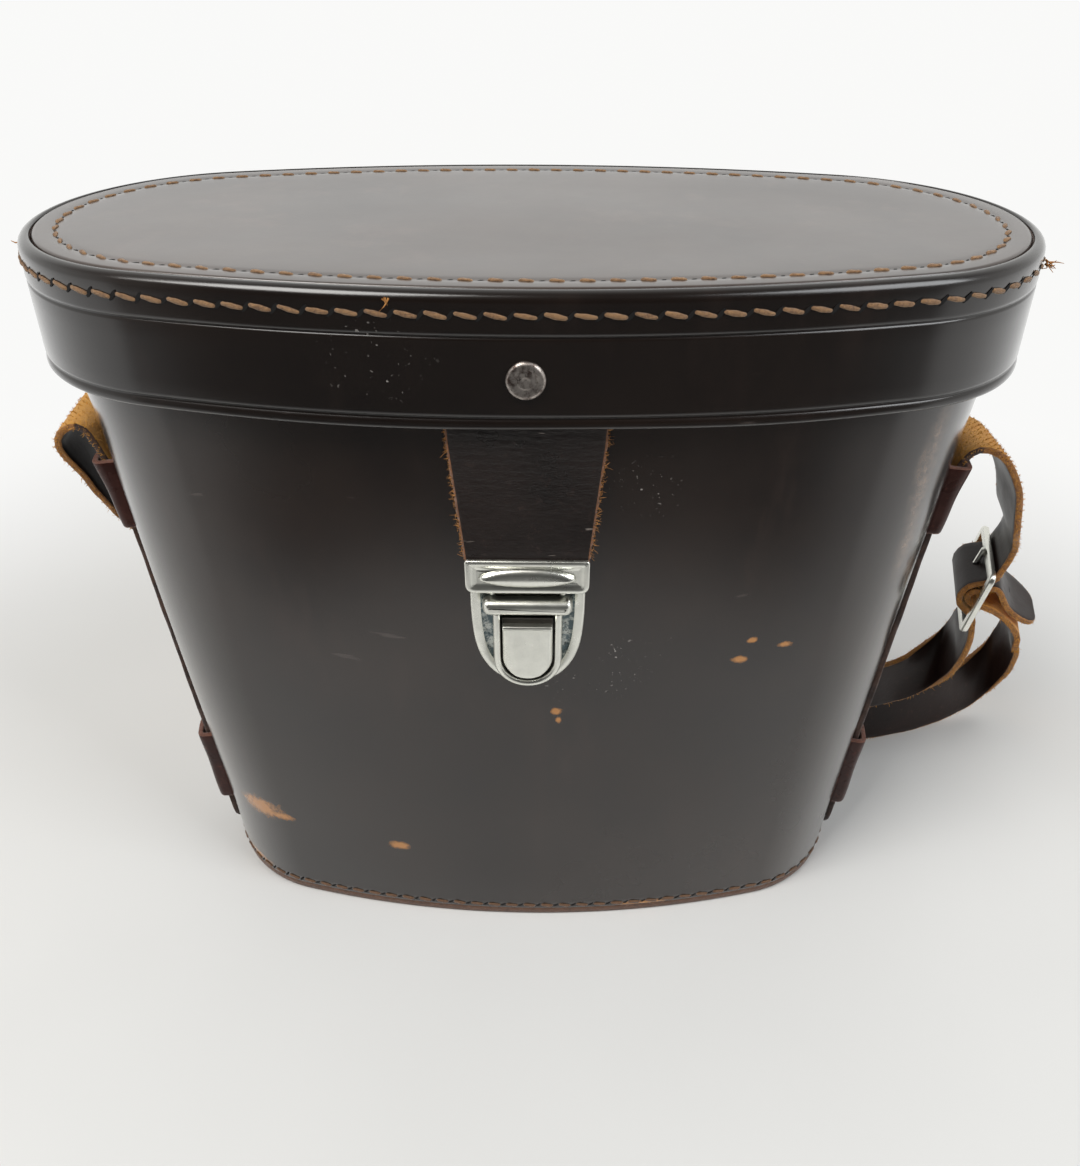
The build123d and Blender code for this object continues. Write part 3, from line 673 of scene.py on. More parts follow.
stand_in(turned("body_wall", body_at, [
    (-2.2, 0.1), (-1.4, 0.0), (-0.7, 0.05), (-0.25, 0.25), (-0.03, 0.7), (0.0, 1.5), (-0.02, 2.1),
    (-0.14, 2.35), (-0.02, 2.6), (0.02, 3.1), (-0.08, 3.6), (0.02, 4.1), (0.0, 5.0), (0.0, 7.0),
    *((0.0, z) for z in range(11, 145, 5)),
    (0, 146), (0, 152), (0, 157.2), (-0.3, 157.8), (-0.9, 158), (-2.2, 158), (-2.8, 157.7),
    (-3, 157), (-3.0, 146), (-3.0, 80), (-3.0, 8), (-3.0, 1), (-3.0, 0.2)],
    [LEATHER, EDGE], range(7, 44), wall_dents, loop=True), "body_shell")

# set-up bottom with its flange turned down against the wall
under = turned("base_under", body_at, (
    (-3.02, 7.9), (-3.02, 0.3), (-3.3, 0.05), (-4.9, 0.05), (-5.4, 0.4), (-5.5, 4.6), (-5.9, 5.3),
    (-6.8, 5.5), (-12, 5.5)), [EDGE, LEATHER], range(5), cap=40)
over = turned("base_top", body_at, ((-3.1, 8.0), (-9, 8.0)), [EDGE], cap=40)
stand_in(join("base_leather", under, over), "base_plate")

stand_in(turned("lining_card", body_at, (
    (-4.25, 9), (-4.25, 80), (-4.25, 146), (-4.25, 154.3), (-3.1, 154.6), (-3.05, 155.6),
    (-3.3, 155.95), (-4.6, 156), (-5.3, 155.8), (-5.5, 155.2), (-5.5, 146), (-5.5, 120), (-5.5, 90),
    (-5.5, 60), (-5.5, 30), (-5.5, 12), (-5.5, 8.2)), [CLOTH], loop=True), "body_lining")

stand_in(turned("base_felt", body_at(10), (
    (-5.9, 8.05), (-5.6, 8.6), (-5.6, 10.2), (-6.0, 10.8), (-7.2, 11), (-12, 11)), [FELT], cap=40),
    "base_pad")

# -- lid: band, panel, felt
SEWN_Z, SHOULDER = 167.9, 2.2
BAND = [
    (-2.48, 146.3), (-2.2, 146.05), (-1.6, 146.0), (-0.6, 146.0), (-0.1, 146.2), (0.12, 146.6),
    (0.12, 147.2), (-0.02, 147.7), (-0.22, 148.0), (-0.45, 148.3), (-0.22, 148.6), (-0.04, 148.9),
    (0.02, 149.4), (0, 152), (0, 156), (0, 160), (0.0, 163.2), (-0.06, 163.5), (-0.24, 163.7),
    (-0.36, 163.9), (-0.24, 164.1), (-0.02, 164.35), (0.03, 164.9), (0.0, 165.6), (0.0, 167.2),
    (-0.12, SEWN_Z), (0.0, 168.6), (0.0, 169.8),
    *((-SHOULDER * (1 - cos(radians(deg))), TOP - SHOULDER * (1 - sin(radians(deg))))
      for deg in (15, 30, 45, 60, 75, 90)),
    (-2.42, 171.85), (-2.5, 171.4), (-2.5, 170.3), (-2.5, 160), (-2.5, 152)]


def rippled(x, y, z):
    """The band's hand-cut edge is a little uneven."""
    return (x, y, z + (1 - smooth(146, 150, z)) * 0.18 * sin(x / 13 + y / 9))


stand_in(turned("lid_side", lid_at, BAND, [LID_LEATHER, EDGE], range(len(BAND) - 4), rippled, True),
         "lid_band")

SEAM_IN = 7.4


def sunk(x, y, z):
    """The top dips a little inside its seam."""
    if z < 171.8:
        return (x, y, z)
    depth = smooth(0, 1, 1 - (x / 96) ** 4 - (y / 42) ** 2)
    wave = 0.10 * sin(x / 21 + 1.3) * sin(y / 17 + 0.4)
    return (x, y, z - 0.45 * depth + wave * depth)


stand_in(turned("lid_top", LID_TOP, (
    (-4.5, 169.8), (-4.5, 161.5), (-4.2, 161.1), (-3.4, 161.0), (-2.8, 161.15), (-2.52, 161.6),
    (-2.52, 170.3), (-2.9, 170.4), (-2.92, 171.4), (-3.0, 171.75), (-3.25, 171.97), (-3.7, 172),
    (-5.5, 171.96), (-6.8, 171.9), (-SEAM_IN, 171.76), (-8.0, 171.9), (-9.5, 171.94),
    (-14, 171.93), (-22, 171.9)), [PANEL_PAINTED_SHEEN, EDGE], range(7, 999), sunk, cap=62), "lid_panel")

stand_in(turned("lid_felt_lining", LID_TOP, (
    (-4.55, 168), (-4.55, 161.3), (-4.8, 161.02), (-5.2, 161.1), (-5.32, 161.5), (-5.35, 166.6),
    (-5.9, 167.4), (-7.2, 167.7), (-14, 167.7)), [FELT], cap=55), "lid_felt")

# -- sewing
sew("band_sewing", oval_spots(lid_at(SEWN_Z), -0.02, SEWN_Z, 5.2, 0.02), THREAD, "lid_band")
sew("panel_sewing", oval_spots(LID_TOP, -SEAM_IN, 171.78, 5.4, flat=True), THREAD, "lid_panel",
    (3.3, 1.0, 0.6), -14, (1.6, 0.6), 8)
sew("base_sewing", oval_spots(body_at(3.6), -0.05, 3.6, 4.6, 0.08), DULL_THREAD, "body_shell",
    (3.5, 1.05, 0.6), -8, (1.9, 0.6), 11)


def loose_threads():
    """Broken thread ends at the sewing: (root, direction, count, length)."""
    verts, faces = [], []
    rnd = Random(21)
    for base, way, count, length in (
            ((104.2, -14, 166.6), (0.6, -0.3, -0.1), 7, 1.7),
            ((-104.9, -8, 168), (-0.9, -0.2, 0.3), 4, 1.5),
            ((-24.1, -50.2, 170.6), (-0.1, -0.25, -0.6), 3, 1.8)):
        for _ in range(count):
            d = unit(V(way) + jitter(rnd, 0.7))
            curl = jitter(rnd, 0.7)
            root = V(base) + jitter(rnd, 0.5)
            long = length * rnd.uniform(0.4, 1)
            points = [root - d * 0.5, root + d * long * 0.4, root + (d + curl * 0.3) * long * 0.75,
                      root + (d + curl) * long]
            strand(verts, faces, points, rnd.uniform(0.16, 0.3))
    wear(make("loose_threads", verts, faces, [FUZZ]), "lid_band")


loose_threads()

# -- hinge leather: one strip that bends at the lid's edge
HINGE_LOW, HINGE_HIGH, HINGE_HALF, TAB_T = 120.2, 160.6, 30.0, 1.6


def back_point(x, z, y_mid, size):
    """Point that follows the case's flat back curve."""
    return V((x, y_mid - sag(flat_radius(size), x), z))


def hinge():
    rows = []
    for z in steps(HINGE_LOW, HINGE_HIGH, 42):
        size = body_at(z) if z < BODY_H else lid_at(z)
        outside = body_at(z)[1] + 0.05 + TAB_T / 2
        inside = lid_at(max(z, BODY_H))[1] - 2.53 - TAB_T / 2
        t = smooth(142, 150, z)
        y_mid = outside * (1 - t) + inside * t
        half = HINGE_HALF - 0.2 * abs(sin(z * 0.9))
        rows.append([(back_point(half * s, z, y_mid, size), unit(V((half * s / 260, 1, -0.03))))
                     for s in steps(-1, 1, 25)])
    ob = leather("hinge_leather", rows, TAB_T, [TAB_SKIN, RAW_ORANGE, EDGE], 0.08)
    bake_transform(ob)
    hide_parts("body_hinge_leaf", "lid_hinge_leaf")

    def at(x, z):
        return back_point(x, z, body_at(z)[1] + 0.05 + TAB_T, body_at(z))
    lines = [(at(-27, 140), at(-27, 123.5)), (at(-25, 122.5), at(0, 122.5)),
             (at(0, 122.5), at(25, 122.5)), (at(27, 123.5), at(27, 140))]
    sew("hinge_sewing", line_spots(lines, unit(V((0, 1, -0.06)))), DULL_THREAD,
        "body_hinge_leaf", (3.4, 1.0, 0.6), -8, (1.7, 0.6), 14)


hinge()


def back_seam():
    """The wall's leather meets in the middle of the back."""
    out = V((0, 1, -0.058))
    lines = [[V((x, body_at(z)[1], z)) for z in (9, 119)] for x in (-3.2, 3.2)]
    sew("seam_sewing", line_spots(lines, unit(out)), DULL_THREAD, "body_shell",
        (3.4, 1.0, 0.55), -8, (1.7, 0.6), 15)
    rows = [[(V((x, body_at(z)[1] + 0.03, z)), out) for x in (-0.28, 0, 0.28)]
            for z in steps(6.5, 119.8, 40)]
    wear(leather("seam_line", rows, 0.1, [HOLE] * 3), "body_shell")


back_seam()

# -- closure strap on the front
# height, gap to the wall, half width, bow across, and 1 where it leans with the front
TAB_KEYS = ((160.6, 0.84, 15.3, 0.46, 0), (146, 0.84, 15.3, 0.46, 0), (142, 0.94, 15.1, 0.3, 1),
            (118, 1.402, 12.7, 0.0, 1), (110.6, 1.402, 12.2, 0.0, 1))
MOUTH_Z, FUZZY_Z = 146.4, 116       # where the strap leaves the lid, and where its fibres end


def tab_rows():
    rows = []
    for z in steps(TAB_KEYS[0][0], TAB_KEYS[-1][0], 125):
        k = next(k for k in range(4) if z >= TAB_KEYS[k + 1][0] - 1e-6)
        (z0, *a), (z1, *b) = TAB_KEYS[k], TAB_KEYS[k + 1]
        off, half, bow, turn = mix(a, b, (z0 - z) / (z0 - z1))
        out = V((0, -cos(FRONT_SLOPE * turn), -sin(FRONT_SLOPE * turn)))
        mid = V((0, -body_at(z)[1] - off, z)) + out * (TAB_T / 2)
        crease = 0.075 * exp(-((z - 140) / 6) ** 2)
        row = []
        for s in steps(-1, 1, 29):
            ruck = 0.5 + 0.5 * sin(z * 1.1 + s * 9 + 2 * sin(s * 4))
            fold = crease * ruck * sin(z * 3.6 + s * 3 + sin(s * 5 + z * 0.4)) - crease
            row.append((mid + V((half * s, 0, 0)) + out * (fold - bow * s * s), out))
        rows.append(row)
    return rows


def closure():
    """Hanging part of the strap, which slides with the hasp, and its end held on the lid."""
    rows = tab_rows()
    mouth = next(i for i, row in enumerate(rows) if row[0][0].z < MOUTH_Z)
    skins = [TAB_SKIN, RAW_ORANGE, EDGE]
    ob = leather("closure_leather", rows[mouth:], TAB_T, skins, 0.3, 2)
    shown = [r for r in rows[mouth:] if r[0][0].z > FUZZY_Z]
    for piece in (ob, fuzz("closure_fuzz", shown, TAB_T, FUZZ, 7.0, 1.35, 6)):
        wear(piece, "closure_strap")
        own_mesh(piece)
    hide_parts("closure_strap")
    last = [(p.lerp(q, 0.85), n) for (p, n), (q, _) in zip(rows[mouth - 1], rows[mouth])]
    wear(leather("closure_end", rows[:mouth] + [last], TAB_T, skins, 0.0, 2), "lid_hinge_leaf")


closure()
RIVET_Z = 156.1


def rivet():
    """Flat-topped rivet with a turned ring, on the band's front."""
    profile = ((3.55, -0.15), (3.65, 0.25), (3.6, 0.5), (3.3, 0.82), (2.9, 0.95), (2.3, 0.93),
               (1.9, 0.8), (1.5, 0.86), (1.1, 0.98), (0.75, 0.85), (0.4, 0.8), (0.02, 0.8))
    verts = [(r * cos(a), -lid_at(RIVET_Z)[1] - h + 0.05 * sin(3 * a + r) * (r > 2), RIVET_Z + r * sin(a))
             for r, h in profile for a in turns(48)]
    stand_in(make("rivet_head", verts, skin(len(profile), 48), [TIN]), "lid_rivet")


rivet()

# -- tuck lock
# its own frame: x, up the front from its foot, and off the front
LOCK_FOOT = 82


def lock_point(x, v, n):
    return V((x, -body_at(LOCK_FOOT)[1] - v * sin(FRONT_SLOPE) - n * cos(FRONT_SLOPE),
              LOCK_FOOT + v * cos(FRONT_SLOPE) - n * sin(FRONT_SLOPE)))


def stacked(name, outline, levels, mats=(NICKEL,), second=99):
    """Solid from an outline set in by (inset, height); `second` is where its second finish starts."""
    pts = [V(p) for p in outline]
    count, top = len(pts), len(levels) - 1
    area = sum(p.x * q.y - q.x * p.y for p, q in zip(pts, pts[1:] + pts[:1]))
    inward = []
    for i in range(count):
        a, b = unit(pts[i] - pts[i - 1]), unit(pts[(i + 1) % count] - pts[i])
        m = unit(V((a.y + b.y, -a.x - b.x))) * copysign(1, area)
        inward.append(m / max(0.5, abs(m.dot(V((a.y, -a.x))))))
    verts = [lock_point(*(p - m * inset), height) for inset, height in levels for p, m in zip(pts, inward)]
    kinds = [int(i >= second) for i in range(1, top + 1) for _ in pts] + [int(top >= second), 0]
    return make(name, verts, tube(top + 1, count), mats, kinds)


def tongue(half, low, high, parts=16):
    """Straight sides over a half-round lower end."""
    return [V((half, high))] + [V((half * cos(a), low + half - half * sin(a)))
                                for a in steps(0, pi, parts + 1)] + [V((-half, high))]


def lock_shield():
    """Shield-shaped base with a blued field, the posts, and the dark slot and well."""
    points = [V(p) for p in ((0, 0), (5.5, 1.2), (9.2, 5.2), (11.2, 11.0), (11.9, 19.0), (11.9, 27.0))]
    half = [eased(points, i, k / 6) for i in range(5) for k in range(6)] + points[-1:]
    plate = stacked("lock_shield", half + [V((-p.x, p.y)) for p in reversed(half[1:])], (
        (0, -0.25), (0, 0.35), (0.12, 0.62), (0.45, 0.84), (1.0, 0.88), (1.6, 0.76), (2.1, 0.52),
        (2.5, 0.34), (3.0, 0.25), (3.6, 0.24)), [NICKEL, BLUED], 7)
    posts = [stacked("post", [(x + 0.55 * cos(a), 25.3 + 0.55 * sin(a)) for a in turns(12)],
                     ((0, 0.3), (0, 2.1), (0.15, 2.35), (0.35, 2.42)), [NICKEL]) for x in (-7.3, 7.3)]
    dark = [stacked(name, outline, ((0, 0.1), (0, 0.30)), [SHADE]) for name, outline in (
        ("slot", oblong(6.4, 27.4, 23.5)), ("well", tongue(5.4, 2.5, 20.6)))]
    stand_in(crisp(join("lock_shield", plate, *posts, *dark), 45), "lock_base")


lock_shield()


def lock_frame():
    """U-shaped rail and the rolled bar over it."""
    half, low = 6.25, 1.6
    bend = [V((cos(a), -sin(a))) for a in steps(0, pi, 25)]
    away = [V((1, 0))] * 2 + bend + [V((-1, 0))] * 2
    path = [V((half, 20.4)), V((half, 14)), *(V((0, low + half)) + m * half for m in bend),
            V((-half, 14)), V((-half, 20.4))]
    profile = ((1.15, 0.4), (1.05, 1.6), (0.98, 2.5), (0.84, 3.0), (0.55, 3.32), (0.15, 3.45),
               (-0.3, 3.38), (-0.6, 3.15), (-0.78, 2.7), (-0.8, 0.4))
    verts = [lock_point(*(p + m * e), n) for p, m in zip(path, away) for e, n in profile]
    rail = make("rail", verts, tube(len(path), len(profile)), [NICKEL])
    bar = stacked("bar", oblong(9.3, 24.0, 20.3, (1.3, 1.8)), (
        (0, 0.4), (0, 2.6), (0.12, 3.1), (0.4, 3.6), (0.8, 3.95), (1.2, 4.1), (1.6, 4.14)))
    stand_in(crisp(join("lock_rail", rail, bar), 50), "lock_cover")


lock_frame()


def lock_press():
    """Button: three flat facets with a rolled lip at the top, on a dark slider.

    Its underside `drop` is above the rail, which leaves it room to move down.
    """
    half, low, top, drop = 5.2, 3.85, 17.8, 3.52
    right = (1.3, 2.6, 3.4, 4.2, 4.6, 4.9, 5.1, 5.19, 5.2)
    across = [-x for x in reversed(right)] + [0, *right]
    rows, verts = 32, []
    for i in range(rows + 1):
        v = low + (top - low) * (1 - cos(pi / 2 * i / rows))
        rise = min(0.0, v - low - half)
        wide = sqrt(max(0.0, half * half - rise * rise))
        for full in across:
            x = full * wide / half
            edge = half - hypot(x, rise)
            n = 4.62 - 0.24 * max(0.0, abs(x) - 2.6) - 0.5 * max(0.0, 1 - edge / 0.7) ** 2.5
            verts.append(lock_point(x, v, drop if abs(full) == half or i == 0 else n))
    count = len(across)
    rim = [i * count for i in range(rows + 1)] + [i * count + count - 1 for i in range(rows, 0, -1)]
    face = make("face", verts, skin(rows + 1, count, gap=1) + [disc(rows, count), tuple(rim)], [NICKEL])
    seat = stacked("seat", tongue(5.3, 4.5, 19.8), ((0, 0.5), (0, 3.4), (0.15, 3.56)), [SHADE])
    lip = stacked("lip", oblong(5.2, 18.5, 17.5, (0.3, 0.3)),
                  ((0, drop), (0, 4.75), (0.12, 5.0), (0.35, 5.12)))
    stand_in(crisp(join("lock_press", seat, face, lip), 11), "lock_button")


lock_press()


def hasp():
    """Plate with a rolled rim round a sunk field, and a raised oval ridge in it."""
    plate = stacked("plate", oblong(12.6, 34.3, 26.3, (0.7, 2.1)), (
        (0, 2.9), (0, 3.45), (0.1, 3.68), (0.35, 3.8), (1.0, 3.8), (1.3, 3.7), (1.55, 3.42),
        (2.4, 3.38)))
    half, tall, sides, levels = 9.85, 2.25, 72, (1.0, 0.985, 0.93, 0.84, 0.70, 0.52, 0.33, 0.15, 0.02)
    verts = []
    for t in levels:
        for a in turns(sides):
            x = copysign(abs(cos(a)) ** 0.55, cos(a))
            y = copysign(abs(sin(a)) ** 0.8, sin(a)) * (1 - 0.4 * x * x)
            verts.append(lock_point(x * (half - tall * (1 - t)), 30.1 + y * tall * t,
                                    3.35 + 1.35 * sqrt(1 - t * t)))
    ridge = make("ridge", verts, tube(len(levels), sides), [NICKEL])
    fold = stacked("fold", oblong(8, 27.9, 26.7), ((0, 1.4), (0, 3.1)))
    stand_in(crisp(join("hasp_face", plate, ridge, fold), 50), "hasp_plate")


hasp()
for finish, width, *nodes in (
        (SHADE, 0.15, "hasp_tongue"), (NICKEL, 0.45, "buckle_frame"), (NICKEL, 0.1, "buckle_prong"),
        (TIN, 0.15, "lid_rivet_burr"), (STEEL, 0.15, "lock_backplate"),
        (STEEL, 0.1, "lock_rivet_left", "lock_rivet_right", "hasp_pin_left", "hasp_pin_right")):
    for node in nodes:
        bevelled(node, finish, width)

# -- keepers and shoulder strap
STRAP_W, STRAP_T, STRAP_OFF = 18.0, 1.6, 0.2
SIDE_UP = V((-sin(SIDE_SLOPE), 0, cos(SIDE_SLOPE)))
SIDE_OUT = V((-cos(SIDE_SLOPE), 0, -sin(SIDE_SLOPE)))


def keeper(name, low, high, room, node, sign, fuzzy):
    """Loop over the strap; `room` gives the slack over the strap from low to high."""
    z = (low + high) / 2
    bow = sag(body_at(z)[2], STRAP_W / 2)
    thick, inner = 1.4, STRAP_W / 2 + 0.4
    half_high = (high - low) / cos(SIDE_SLOPE) / 2
    middle = V((-body_at(z)[0], 0, z))
    mid_half = inner + thick / 2
    rows = []
    for u in steps(-1, 1, 41):
        # over the strap in the middle, turned down into the wall at both sides
        y = copysign(mid_half * (1 - (1 - min(1, abs(u) / 0.78)) ** 1.25), u)
        drop = max(0.0, (abs(u) - 0.66) / 0.34)
        turn = min(1.0, drop * 1.6) * pi / 2
        n = SIDE_OUT * cos(turn) + V((0, copysign(1, u), 0)) * sin(turn)
        row = []
        for s in steps(-1, 1, 15):
            t = (s + 1) / 2
            slack = room[0] * (1 - t) ** 2 + room[1] * 2 * t * (1 - t) + room[2] * t * t
            roof = STRAP_OFF + STRAP_T + slack + thick / 2
            off = roof - bow * (y / mid_half) ** 2 - (roof + 0.6) * drop ** 1.5
            p = middle + SIDE_UP * (half_high * s) + SIDE_OUT * off + V((0, y, 0))
            p += SIDE_OUT * (0.12 * sin(s * 4 + u * 3))
            row.append((V((p.x * -sign, p.y, p.z)), unit(V((n.x * -sign, n.y, n.z)))))
        rows.append(row)
    ob = leather(name, rows, thick, [KEEPER_SKIN, KEEPER_EDGE, EDGE], 0.07, len(name))
    stand_in(ob, node)
    if fuzzy:
        wear(fuzz(name + "_fuzz", rows[6:35], thick, FUZZ, 2.6, 0.9, 9, (0,)), node)


for side, sign in (("left", -1), ("right", 1)):
    keeper(f"keeper_top_{side}", 101.5, 119.0, (0.1, 0.7, 2.0), f"upper_keeper_{side}", sign, False)
    keeper(f"keeper_low_{side}", 15.5, 37.5, (0.15, 0.3, 0.35), f"lower_keeper_{side}", sign, True)

# buckle frame of reference: centre, along the bars, down the frame, off its face
B_AT = V((118.15, 14.0, 73.45))
B_W = unit(V((0.226, 0.968, 0.097)))
B_E = V((-0.146, 0.2, -0.97))
B_E = unit(B_E - B_W * B_E.dot(B_W))
B_N = B_W.cross(B_E)


def fr(u, n):
    return B_AT + B_E * u + B_N * n


def bars(*places):
    """Knots that lie along the buckle's bars."""
    return [(fr(*place), B_W) for place in places]


# knot: middle of the leather, direction across it from near edge to far edge
BACK, UP = (0, 1, 0), (0, 0, 1)
LEFT_RUN = [
    ((-101, 0, 126.0), BACK), ((-105.6, 0.4, 126.4), (0, 1, 0.08)),
    ((-108.2, 1, 122), (0, 1, 0.1)), ((-105.5, 3.6, 113), (0, 1, 0.05)),
    ((-100.5, 11, 97), (0.1, 1, 0.1)), ((-92, 22, 78), (0.2, 1, 0.4)),
    ((-78, 32, 56), (0.3, 0.6, 0.8)), ((-55, 39, 34), (0.2, 0.2, 1)),
    ((-25, 43, 17), UP), ((12, 42.5, 9.3), UP),
    ((50, 36, 9.2), UP), ((84, 30, 9.2), UP),
    ((106, 33.7, 9.2), UP), ((128, 41.3, 9.4), (0, 0.05, 1)),
    ((143.5, 50, 13), (0, 0.35, 1)), ((149, 49, 24), (0, 0.75, 0.85)),
    ((146, 41, 37), (0.1, 1, 0.4)), ((138.5, 27, 48.5), (0.2, 1, 0.1)),
    *bars((12.9, -15.5), (9.5, -14.8), (6.7, -12.7), (3.9, -8.7), (2.4, -4.1)),
    # round the middle bar, and the tip hanging from it
    *bars(*((2.3 * cos(a), 2.3 * sin(a)) for a in steps(0, pi, 7)),
          (-3.9, -1.9), (-4.2, -3.6), (-2.8, -5.3), (-0.6, -7.1), (1.3, -9.2), (3.0, -12.8),
          (4.4, -16.2), (4.8, -17.5)),
]
RIGHT_RUN = [
    ((99.8, 0, 121.4), BACK), ((103.6, 0, 122.4), BACK),
    ((108.6, 0.2, 119.4), BACK), ((113.8, 0.6, 111), (0.05, 1, 0)),
    ((117.2, 3, 100), (0.1, 1, 0.05)),
    *bars((-16, -2.4), (-8.9, -2.0), (-6.8, -1.6), (-5, 0.6), (-3.3, 3.2), (0, 4.3), (3.3, 3.2),
          (5, 0.6), (6.8, -1.6), (9.4, -2.6), (14.1, -4.0)),
    (fr(19.5, -4.0), (0.2, 0.9, 0.4)), ((120.5, 27.5, 38), (0.1, 0.4, 0.9)),
    ((110, 28, 28.6), (0, -0.1, 1)), ((98, 24.5, 27.9), (0, -0.2, 1)),
    ((84, 27, 27.8), (0, -0.1, 1)), ((65, 36.5, 27.8), UP), ((44, 41, 27.8), UP),
]


def curve(knots, spacing=1.6):
    """Smooth run of (point, across) through the knots."""
    pts, acr = [V(k[0]) for k in knots], [unit(V(k[1])) for k in knots]
    run = []
    for i in range(len(pts) - 1):
        per = max(2, round((pts[i + 1] - pts[i]).length / spacing))
        run += [(eased(pts, i, j / per), unit(acr[i].lerp(acr[i + 1], j / per))) for j in range(per)]
    return run + [(pts[-1], acr[-1])]


def side_stations(sign):
    """(mid, across, out, half, bow) hugging the side of the case up to the upper keeper."""
    out = V((SIDE_OUT.x * -sign, 0, SIDE_OUT.z))
    found = []
    for z in steps(2.0, 117.0, 78):
        half = STRAP_W / 2 * (0.45 + 0.55 * sin(min(1.0, (z - 2) / 8) * pi / 2))
        bow = sag(body_at(z)[2], half) * (1 - smooth(101.5, 117, z))
        mid = V((sign * body_at(z)[0], 0, z)) + out * (STRAP_OFF + STRAP_T / 2)
        found.append((mid, V((0, 1, 0)), out, half, bow))
    return found


TAPER = 8                 # length over which the strap's end is rounded


def strap_rows(sign, knots):
    stations = side_stations(sign)
    top, out = stations[-1][0], stations[-1][2]
    run = curve([(top, (0, 1, 0))] + knots)[1:]
    lengths = [0.0]
    for a, b in zip(run, run[1:]):
        lengths.append(lengths[-1] + (b[0] - a[0]).length)
    for i, (p, across) in enumerate(run):
        ahead = run[min(i + 1, len(run) - 1)][0] - run[max(i - 1, 0)][0]
        n = unit(across.cross(ahead))
        out = n if n.dot(out) > 0 else -n
        past = max(0.0, TAPER - lengths[-1] + lengths[i])
        share = 0.42 + 0.58 * sqrt(1 - (past / TAPER) ** 2) if past else 1
        stations.append((p, across, out, STRAP_W / 2 * share, 0.0))
    rows, rnd = [], Random(4)
    phase = [rnd.uniform(0, 6) for _ in range(2)]
    for i, (mid, across, out, half, bow) in enumerate(stations):
        half *= 1 + 0.012 * sin(i * 0.37 + phase[0]) + 0.008 * sin(i * 0.9 + phase[1])
        rows.append([(mid + across * (half * s) - out * (bow * s * s),
                      unit(out + across * (2 * bow * s / half))) for s in steps(-1, 1, 11)])
    return rows


def nap_hairs(name, rows, seed):
    """Short fibres on the flesh side where it shows on the outside."""
    rnd = Random(seed)
    verts, faces = [], []
    for a, b in zip(rows, rows[1:]):
        for _ in range(60):
            j = rnd.randrange(len(a) - 1)
            p = a[j][0].lerp(b[j + 1][0], rnd.random()) - a[j][1] * (STRAP_T / 2 - 0.03)
            d = unit(-a[j][1] + jitter(rnd, 0.9))
            curl = jitter(rnd, 0.5)
            long = rnd.uniform(0.25, 0.8)
            strand(verts, faces, [p, p + d * long * 0.5, p + unit(d + curl) * long],
                   rnd.uniform(0.06, 0.11))
    return make(name, verts, faces, [NAP])


def strap(name, node, sign, knots, bare):
    """`bare` rows past the keeper show the flesh side."""
    rows = strap_rows(sign, knots)
    free = rows[72:]
    stand_in(leather(name, rows, STRAP_T, [STRAP_SKIN, STRAP_EDGE, SUEDE], 0.16, 3), node)
    wear(fuzz(name + "_fuzz", free, STRAP_T, NAP, 5.0, 1.0, 12 + sign), node)
    wear(nap_hairs(name + "_nap", free[:bare], 14 + sign), node)


strap("strap_long", "strap_left", -1, LEFT_RUN, 26)
strap("strap_short", "strap_right", 1, RIGHT_RUN, 40)


def eyelets():
    """Punched holes: the tail's own and the one that the prong comes through."""
    verts = []
    for centre, n, r in ((fr(1.75, -9.9), B_E * -0.85 - B_N * 0.52, 1.35),
                         (fr(-4.6, 1.55), B_E * -0.72 + B_N * 0.69, 1.3)):
        n = unit(n)
        for lift in (STRAP_T / 2 + 0.03, -STRAP_T / 2 - 0.03):
            verts += circle(centre + n * lift, B_W, unit(n.cross(B_W)), r, r, 16)
    wear(make("eyelets", verts, [disc(i, 16) for i in range(4)], [HOLE]), "strap_left")


eyelets()


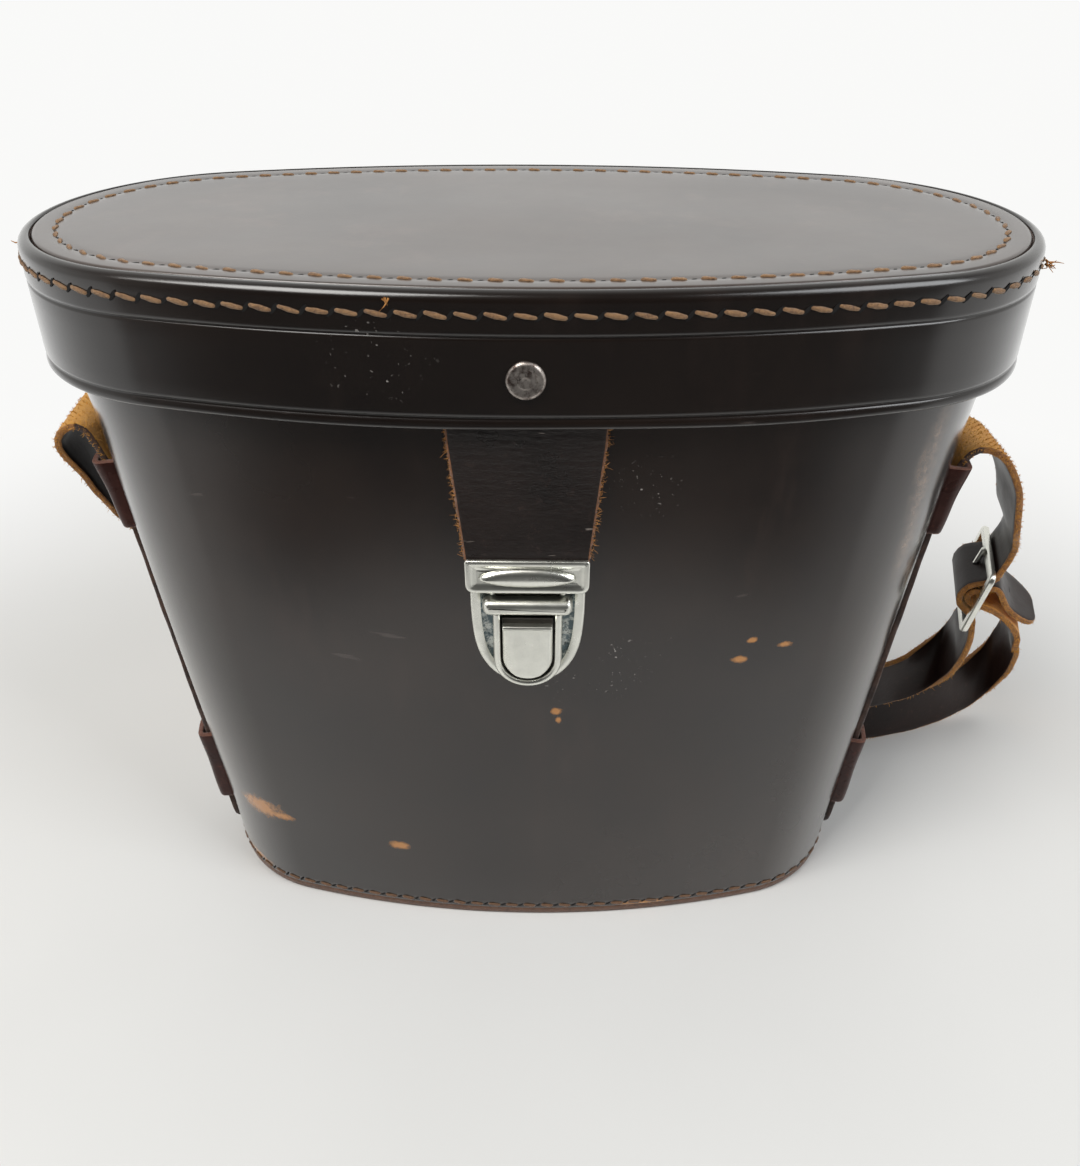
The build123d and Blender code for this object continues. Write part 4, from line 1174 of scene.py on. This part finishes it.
# -- floor, light and camera
def floor():
    """Pale floor that fades to a white ground, and is dim in reflections in front of the case."""
    m, nt, b = new_mat("floor")
    tones = (0.70, 0.70, 0.69), (0.74, 0.74, 0.73)
    feed(nt, b, {"Base Color": ramp(nt, noise(nt, 6, 3), 0.3, 0.7, *tones), "Roughness": 0.6})
    path = nt.nodes.new("ShaderNodeLightPath").outputs
    away = far(nt, place(nt))
    seen = calc(nt, "MAXIMUM", path["Is Camera Ray"], path["Is Glossy Ray"])
    front = calc(nt, "MAXIMUM", times(nt, axis(nt, "Y"), -1.0), 0.02)
    ratio = calc(nt, "DIVIDE", calc(nt, "ABSOLUTE", axis(nt, "X")), front)
    shade = times(nt, ranged(nt, away, 0.10, 0.24), ranged(nt, ratio, 0.8, 2.0, 1.0, 0.0))
    shade = times(nt, shade, path["Is Glossy Ray"])
    glow = add(nt, "Emission", 0, {"Color": (0.95, 0.95, 0.94),
                                   "Strength": ranged(nt, shade, 0.0, 1.0, 1.0, 0.12)})
    cover = calc(nt, "MAXIMUM", times(nt, ranged(nt, away, 0.15, 0.36), seen), shade)
    feed(nt, nt.nodes["Material Output"], {
        "Surface": add(nt, "MixShader", 0, {0: cover, 1: b.outputs[0], 2: glow})})
    size = 12000.0
    verts = [(-size, -size, 0), (size, -size, 0), (size, size, 0), (-size, size, 0)]
    make("floor", verts, [(0, 1, 2, 3)], [m])


def lamp(name, at, watts, tint):
    data = bpy.data.lights.new(name, "AREA")
    data.shape, data.size, data.size_y = "RECTANGLE", 0.5, 0.5
    data.energy, data.color = watts, tint
    ob = placed(name, data)
    ob.location = at
    ob.rotation_euler = (V((0, 0, 0.1)) - V(at)).to_track_quat("-Z", "Y").to_euler()


def studio():
    """Soft room: bright behind and beside the case, dim in front of it, white to the camera."""
    world = bpy.data.worlds.new("studio")
    SCENE.world = world
    world.use_nodes = True
    nt = world.node_tree
    behind = ranged(nt, axis(nt, "Y", "Generated"), -0.35, 0.75, 0.05, 0.85)
    beside = ranged(nt, calc(nt, "ABSOLUTE", axis(nt, "X", "Generated")), 0.55, 0.98, 0.0, 0.75)
    level = calc(nt, "MAXIMUM", calc(nt, "MAXIMUM", behind, beside),
                 add(nt, "LightPath", "Is Camera Ray", {}))
    feed(nt, nt.nodes["Background"], {"Color": (0.97, 0.97, 0.95), "Strength": level})
    lamp("key", (-0.45, -0.45, 1.0), 9, (1, 0.98, 0.95))
    lamp("fill", (0.65, -0.40, 0.8), 5, (0.96, 0.98, 1))


def camera():
    data = bpy.data.cameras.new("camera")
    data.sensor_width, data.lens = 36.0, 33.406
    data.shift_y = -33.5 / 1166
    data.clip_start, data.clip_end = 0.01, 20
    eye, aim, roll = V((0.0044, -0.2301, 0.2307)), V((0.0021, 0, 0.0899)), radians(0.17)
    back = unit(eye - aim)
    right = unit(V((0, 0, 1)).cross(back))
    up = back.cross(right)
    ob = placed("camera", data)
    ob.matrix_world = Matrix((right * cos(roll) + up * sin(roll), up * cos(roll) - right * sin(roll),
                              back)).transposed().to_4x4()
    ob.location = eye
    SCENE.camera = ob


floor()
studio()
camera()
SCENE.view_settings.view_transform = "Standard"
bpy.context.view_layer.update()
